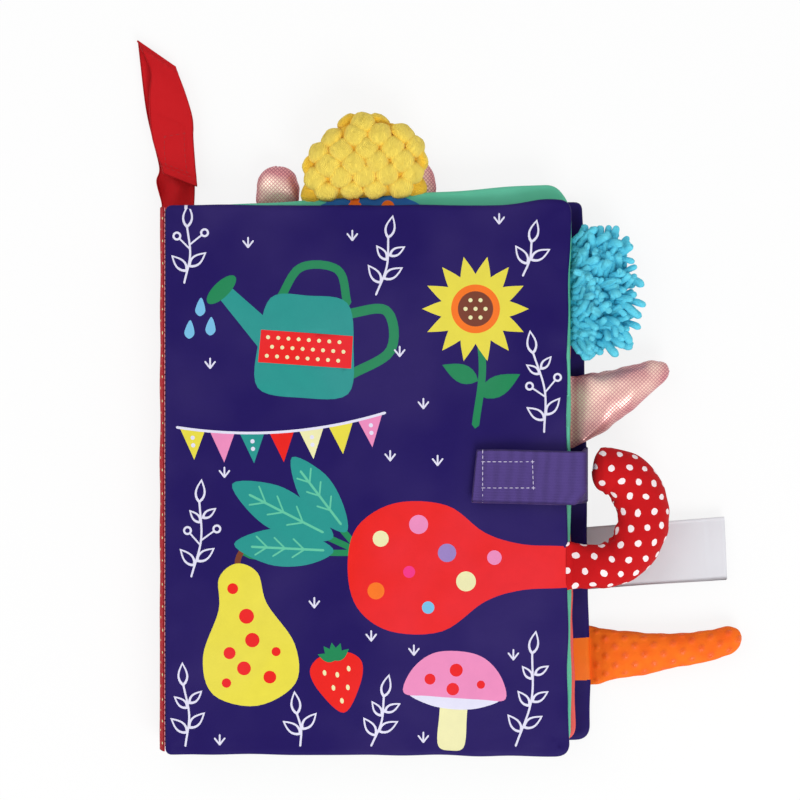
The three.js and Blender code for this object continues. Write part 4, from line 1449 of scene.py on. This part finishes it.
def curl_sections():
    """The red tail: a run out of its seam, half an ellipse and a tip."""
    breadth, depth, run, reach, rise = 20.4, 19.2, 13.9, 16.7, 20.3
    rows = [(run * out, 0, up, 0.0, breadth * b / 2, depth * d / 2)
            for out, up, b, d in ((-0.15, 1.4, 1.03, 0.07), (0, 0.6, 1.03, 0.135),
                                  (0.12, 0, 1.0, 0.36), (0.35, 0, 0.93, 0.62), (0.68, 0, 0.9, 0.86))]
    for i, swell in enumerate([0.92, 0.95, 1.0, 1.05, 1.09, 1.1, 1.08, 1.03, 0.95]):
        angle = -math.pi / 2 + math.pi * i / 8
        heading = math.atan2(rise * math.cos(angle), -reach * math.sin(angle))
        rows.append((run + reach * math.cos(angle), rise * (1 + math.sin(angle)), 0, heading,
                     breadth * swell / 2, depth * min(swell - 0.03, 1.03) / 2))
    for out, wide, deep in ((0.4, 0.86, 0.78), (0.7, 0.7, 0.62), (0.88, 0.52, 0.44),
                            (0.97, 0.32, 0.26), (1.0, 0.09, 0.07)):
        rows.append((run - 4.2 * out, 2 * rise, 0, math.pi, breadth * wide / 2, depth * deep / 2))
    return np.array(rows)


def red_tail():
    body = Tail(curl_sections(), (86.3, -36.6, 22.2), 0.0, 0.9, 64)
    folds = ripples(133, 14.0, 8.0)

    def inner_folds(along, angle):
        """Folds on the inside of the curl."""
        inner = np.exp(-((np.abs(angle - TAU * (angle > math.pi))) / 0.95) ** 2)
        curled = smooth(10, 20, along) * (1 - smooth(78, 92, along))
        return (np.abs(folds(along, np.sin(angle) * 1.5)) - 0.5) * 0.8 * inner * curled

    relief = stuffed(131, 0.34, 5.5, ripples(134, 26, 12), 5, 0.34, 8, inner_folds)
    piece = body.piece("red_dotted_tail", MATERIALS["dots"], relief, pinch=0.6)
    dress(piece, "red_tail", (86, -36.6, 22.2),
          (94, -36.6, 22.2), 0.8)


def orange_tail():
    body = Tail(straight(65, 26.2, 11, 1.6, [
        (0, 0, 0, 1, 0.4), (0.05, 0.0, 0.08, 0.95, 0.56), (0.14, 0.01, 0.2, 0.84, 0.86),
        (0.3, 0.03, 0.3, 0.73, 1), (0.55, 0.06, 0.32, 0.58, 1), (0.78, 0.15, 0.3, 0.52, 0.94),
        (0.9, 0.215, 0.28, 0.49, 0.86), (0.955, 0.24, 0.27, 0.41, 0.66),
        (0.987, 0.25, 0.26, 0.28, 0.4), (1, 0.25, 0.26, 0.1, 0.14),
    ]), (95.917, -76.495, 3.0), 0.914, 0.55, 96)
    pitch, gap, size = 4.1, 7.8, 1.45

    def bumps(along, angle):
        """Round bumps in staggered rows across the tail, none of them on its side seams."""
        half = np.interp(along, body.along, body.rows[:, 4])
        side = np.abs((angle % math.pi) - math.pi / 2) * half * 0.95 * np.sign(np.cos(angle))
        row = np.round(along / pitch)
        side = side - (row % 2) * gap / 2
        dx, dy = along - row * pitch, side - np.round(side / gap) * gap
        bump = np.exp(-((dx ** 2 + dy ** 2) / size ** 2) ** 2)
        return bump * smooth(2, 5, along) * smooth(0.2, 0.6, np.abs(np.sin(angle)))

    relief = stuffed(141, 0.22, 7.0, ripples(143, 30, 12), 6, 0.3, 8,
                     lambda along, angle: bumps(along, angle) * 0.5)
    piece = body.piece("orange_plush_tail", MATERIALS["plush"], relief, {"raised": bumps})
    dress(piece, "orange_tail", (95.5, -76.5, 3),
          (102, -76.5, 3), 0.55)


def foil_tails():
    shapes = {
        "pink_tail": (41, 30, 16.5, (88.399, 29.004, 9.4), 0.854, (1, 0, 0), [
            (0, -0.02, 0, 1.05, 0.27), (0.06, 0.0, 0, 1.03, 0.4), (0.14, 0.04, 0, 0.98, 0.6),
            (0.32, 0.12, 0, 0.87, 0.93), (0.55, 0.27, 0, 0.7, 1), (0.77, 0.43, 0, 0.52, 0.82),
            (0.91, 0.51, 0, 0.36, 0.58), (0.975, 0.55, 0, 0.22, 0.34), (1, 0.56, 0, 0.06, 0.1)]),
        "top_stub_left": (17.2, 19, 11, (-38.2, 116.5, 9.4), 90.0, (0, 1, 0), [
            (0, 0, 0, 0.96, 0.38), (0.22, 0, -0.06, 1, 0.72), (0.5, 0, -0.1, 0.97, 0.98),
            (0.76, 0, -0.1, 0.82, 0.88), (0.92, 0, -0.1, 0.56, 0.6), (0.98, 0, -0.1, 0.34, 0.34),
            (1, 0, -0.1, 0.1, 0.1)]),
        "top_stub_right": (20.4, 19.6, 11, (20.2, 116.5, 9.4), 90.0, (0, 1, 0), [
            (0, 0, 0, 0.96, 0.38), (0.18, 0, -0.1, 1, 0.68), (0.45, 0, -0.2, 0.98, 0.84),
            (0.73, 0, -0.2, 0.84, 0.78), (0.91, 0, -0.2, 0.58, 0.56), (0.98, 0, -0.2, 0.34, 0.34),
            (1, 0, -0.2, 0.1, 0.1)]),
    }
    for i, (name, row) in enumerate(shapes.items()):
        reach, breadth, depth, seat, turn, way, shares = row
        body = Tail(straight(reach, breadth, depth, 2.0, shares), seat, turn, 0.6, 64)

        def side(along, angle, end=body.along[-1], deep=1.35 if way[1] else 1.0):
            """Painted shade: how far the foil has turned away to the sides, or nears its end, where
            it shines less.
            """
            return np.maximum(np.abs(np.cos(angle)) ** 3, smooth(end - 9, end, along)) * deep

        relief = stuffed(151 + 7 * i, 0.3, 4.5, ripples(153 + 7 * i, 22, 8), 5, 0.3, 6)
        piece = body.piece(f"{name}_foil_cover", MATERIALS["foil"], relief, {"side": side})
        dress(piece, name, seat,
              np.array(seat) + np.array(way) * 5, 0.7)


def bobble_shapes():
    """Soft tufts of yarn, wider than they are tall, with strands over the top."""
    shapes = []
    polar = np.linspace(0.12, math.pi - 0.3, 9)[:, None]
    angle = np.linspace(0, TAU, 18, endpoint=False)[None, :]
    square = (np.abs(np.cos(angle)) ** 2.6 + np.abs(np.sin(angle)) ** 2.6) ** (-1 / 2.6)
    for seed in (161, 162, 163, 164):
        lump = ripples(seed, 2.6, 1.2)
        ring = np.sin(polar) * 5.1 * square * (1 + 0.05 * lump(polar * 2, angle))
        high = np.cos(polar) * np.where(np.cos(polar) > 0, 3.5, 2.6) + 0.2 * lump(angle * 2, polar)
        rings = np.stack([ring * np.cos(angle), ring * np.sin(angle), high], -1)
        points, faces = capped(rings, [[0, 0, high[0].mean()], [0, 0, high[-1].mean()]])
        # Painted shade: each tuft is deep on its sides and underside and light over its top.
        reach = np.clip(np.cos(polar) * 1.2 + 0.3, 0, 1) * np.ones(angle.shape)
        shapes.append(make(f"bobble_{seed}", points, [face[::-1] for face in faces],
                           MATERIALS["bobble"], points[:, :2], {"reach": np.append(reach, [1, 0])}))
    return shapes


def rooted(along, angle):
    """The reach of a core, which lies at the roots of what stands on it and so takes the yarn's
    painted shade.
    """
    return 0 * along * angle + 0.05


def yellow_tail():
    body = Tail(straight(35, 52.6, 13, 2.0, [
        (0, 0, 0, 0.9, 0.2), (0.1, 0, 0.14, 0.9, 0.5), (0.3, -0.015, 0.3, 0.91, 0.74),
        (0.48, -0.035, 0.34, 0.87, 0.78), (0.6, -0.05, 0.35, 0.77, 0.76),
        (0.76, -0.055, 0.36, 0.54, 0.68), (0.87, -0.03, 0.36, 0.3, 0.5), (0.92, 0.0, 0.36, 0.1, 0.16),
    ]), (-1.018, 120.267, 15.8), 93.444, 0.9, 60)
    core = body.piece("yellow_bobble_core", MATERIALS["bobble"], None, {"reach": rooted})
    places, facings = body.spots(10.3, 5.8, 5.0, 1)
    facings = facings + np.random.default_rng(165).normal(0, 0.1, facings.shape)
    tufts_piece = planted("yellow_bobble_tufts", places - facings * 0.4, facings, bobble_shapes(),
                          (0.96, 1.06), 0.5, MATERIALS["bobble"])
    for piece, fill in ((core, 0.75), (tufts_piece, None)):
        dress(piece, "yellow_tail", (-1, 120, 15.8),
              (-1, 127, 15.8), fill)


def strand_shapes():
    """Soft strands with blunt round ends, each with its own bend."""
    shapes = []
    for seed, length, bend in ((171, 8.5, 1.8), (172, 10.0, 3.0), (173, 7.5, 0.9),
                               (174, 10.5, 3.8), (175, 9.0, -1.6)):
        share = np.append(np.linspace(0, 0.84, 6), [0.93, 1.0])
        path = np.stack([bend * share ** 2, 0.3 * np.sin(share * 5), share * length - 1.0], 1)
        radius = 1.72 * (1 + 0.09 * ripples(seed, 5.0, 2.4)(share * length))
        radius[-2:] *= [0.84, 0.42]
        # Painted shade: each strand is deep at its root and light towards its end.
        reach = np.append(np.repeat(0.3 + 0.7 * share, 8), [0, 1])
        around = np.tile(np.linspace(0, 1, 8, endpoint=False) * 9.4, len(share))
        uv = np.stack([np.append(around, [0, 0]), reach * length], 1)
        shapes.append(make(f"strand_{seed}", *tube(path, radius, 8), MATERIALS["chenille"], uv,
                           {"reach": reach}))
    return shapes


def blue_tail():
    seat = (87.1, 79.5, 15.8)
    body = Tail(straight(27, 54, 17, 1.4, [
        (0, 0, 0, 0.86, 0.15), (0.16, 0, 0, 0.86, 0.34), (0.4, 0, 0, 0.84, 0.46),
        (0.6, 0, 0, 0.8, 0.46), (0.76, -0.01, 0, 0.66, 0.38), (0.84, -0.02, 0, 0.4, 0.24),
        (0.86, -0.02, 0, 0.14, 0.1),
    ]), seat, 0.0, 0.9, 60)
    core = body.piece("blue_chenille_core", MATERIALS["chenille"], None, {"reach": rooted})
    places, facings = body.spots(3.1, 2.7, 2.2)
    lean = np.random.default_rng(176).normal(0, 0.62, facings.shape)
    lean[:, 0] += 0.6
    lean[:, 1] += (places[:, 1] - seat[1]) / 40 + 0.3
    facings = facings * [0.6, 0.6, 0.42] + lean * [0.8, 0.8, 0.25]
    # Strands beside the seam stand out from it, and the others don't hang under the tail
    by_the_seam = smooth(97, 88, places[:, 0])
    facings[:, 0] = np.maximum(facings[:, 0], 1.8 * by_the_seam - 0.9)
    facings[:, 2] = np.maximum(facings[:, 2], -0.05 - 2 * smooth(97, 103, places[:, 0]))
    strands = planted("blue_chenille_strands", places, unit(facings), strand_shapes(),
                      (0.72, 1.05), math.pi, MATERIALS["chenille"])
    for piece, fill in ((core, 0.5), (strands, None)):
        dress(piece, "blue_tail", (87, 79.5, 15.8), (93, 79.5, 15.8), fill)


for build in (red_tail, orange_tail, foil_tails, yellow_tail, blue_tail):
    build()


# Studio


def seen_directly(nodes):
    """1 for what the camera, a mirror or a glass sees of the backdrop, and 0 for its light."""
    path = nodes.tree.nodes.new("ShaderNodeLightPath")
    rays = [Link(nodes, path.outputs[f"Is {kind} Ray"])
            for kind in ("Camera", "Glossy", "Transmission")]
    return rays[0].maths("MAXIMUM", rays[1]).maths("MAXIMUM", rays[2])


def studio():
    """A white room: its backdrop and its floor look white, and light the book softly."""
    world = bpy.data.worlds.new("studio")
    bpy.context.scene.world = world
    nodes = nodes_of(world)
    light = nodes.add("ShaderNodeBackground", inputs=[WHITE, 0.62])
    white = nodes.add("ShaderNodeBackground", inputs=[WHITE, 1.0])
    both = nodes.add("ShaderNodeMixShader", inputs=[seen_directly(nodes), light, white])
    nodes.add("ShaderNodeOutputWorld", inputs=[both])

    paper = bpy.data.materials.new("white_paper")
    nodes = nodes_of(paper)
    lit = nodes.add("ShaderNodeBsdfDiffuse", inputs=[(0.9, 0.9, 0.9, 1)])
    bright = nodes.add("ShaderNodeEmission", inputs=[WHITE, 1.0])
    both = nodes.add("ShaderNodeMixShader", inputs=[seen_directly(nodes) * 0.84, lit, bright])
    nodes.add("ShaderNodeOutputMaterial", inputs=[both])
    far = 3 / MM
    corners = [(-far, -far, 0), (far, -far, 0), (far, far, 0), (-far, far, 0)]
    make("floor", corners, [(0, 1, 2, 3)], paper)

    for name, place, power, size in (("key", (0.45, -0.95, 1.15), 12.0, 0.8),
                                     ("fill", (-0.9, 0.5, 1.2), 5.0, 1.2)):
        data = bpy.data.lights.new(name, "AREA")
        data.energy, data.size = power, size
        lamp = linked(name, data)
        lamp.location = place
        lamp.rotation_euler = (-lamp.location).to_track_quat("-Z", "Y").to_euler()
        lamp.visible_camera = False


def camera():
    """Straight down from 1.1 m, framed as the photograph is."""
    view_width, distance = 0.3376, 1.075
    data = bpy.data.cameras.new("camera")
    data.sensor_width = 36
    data.lens = data.sensor_width / view_width * distance
    data.clip_start, data.clip_end = 0.01, 20
    made = linked("camera", data)
    made.location = (0.01414, 0.03355, 1.1)
    bpy.context.scene.camera = made


studio()
camera()
bpy.context.scene.view_settings.view_transform = "Standard"
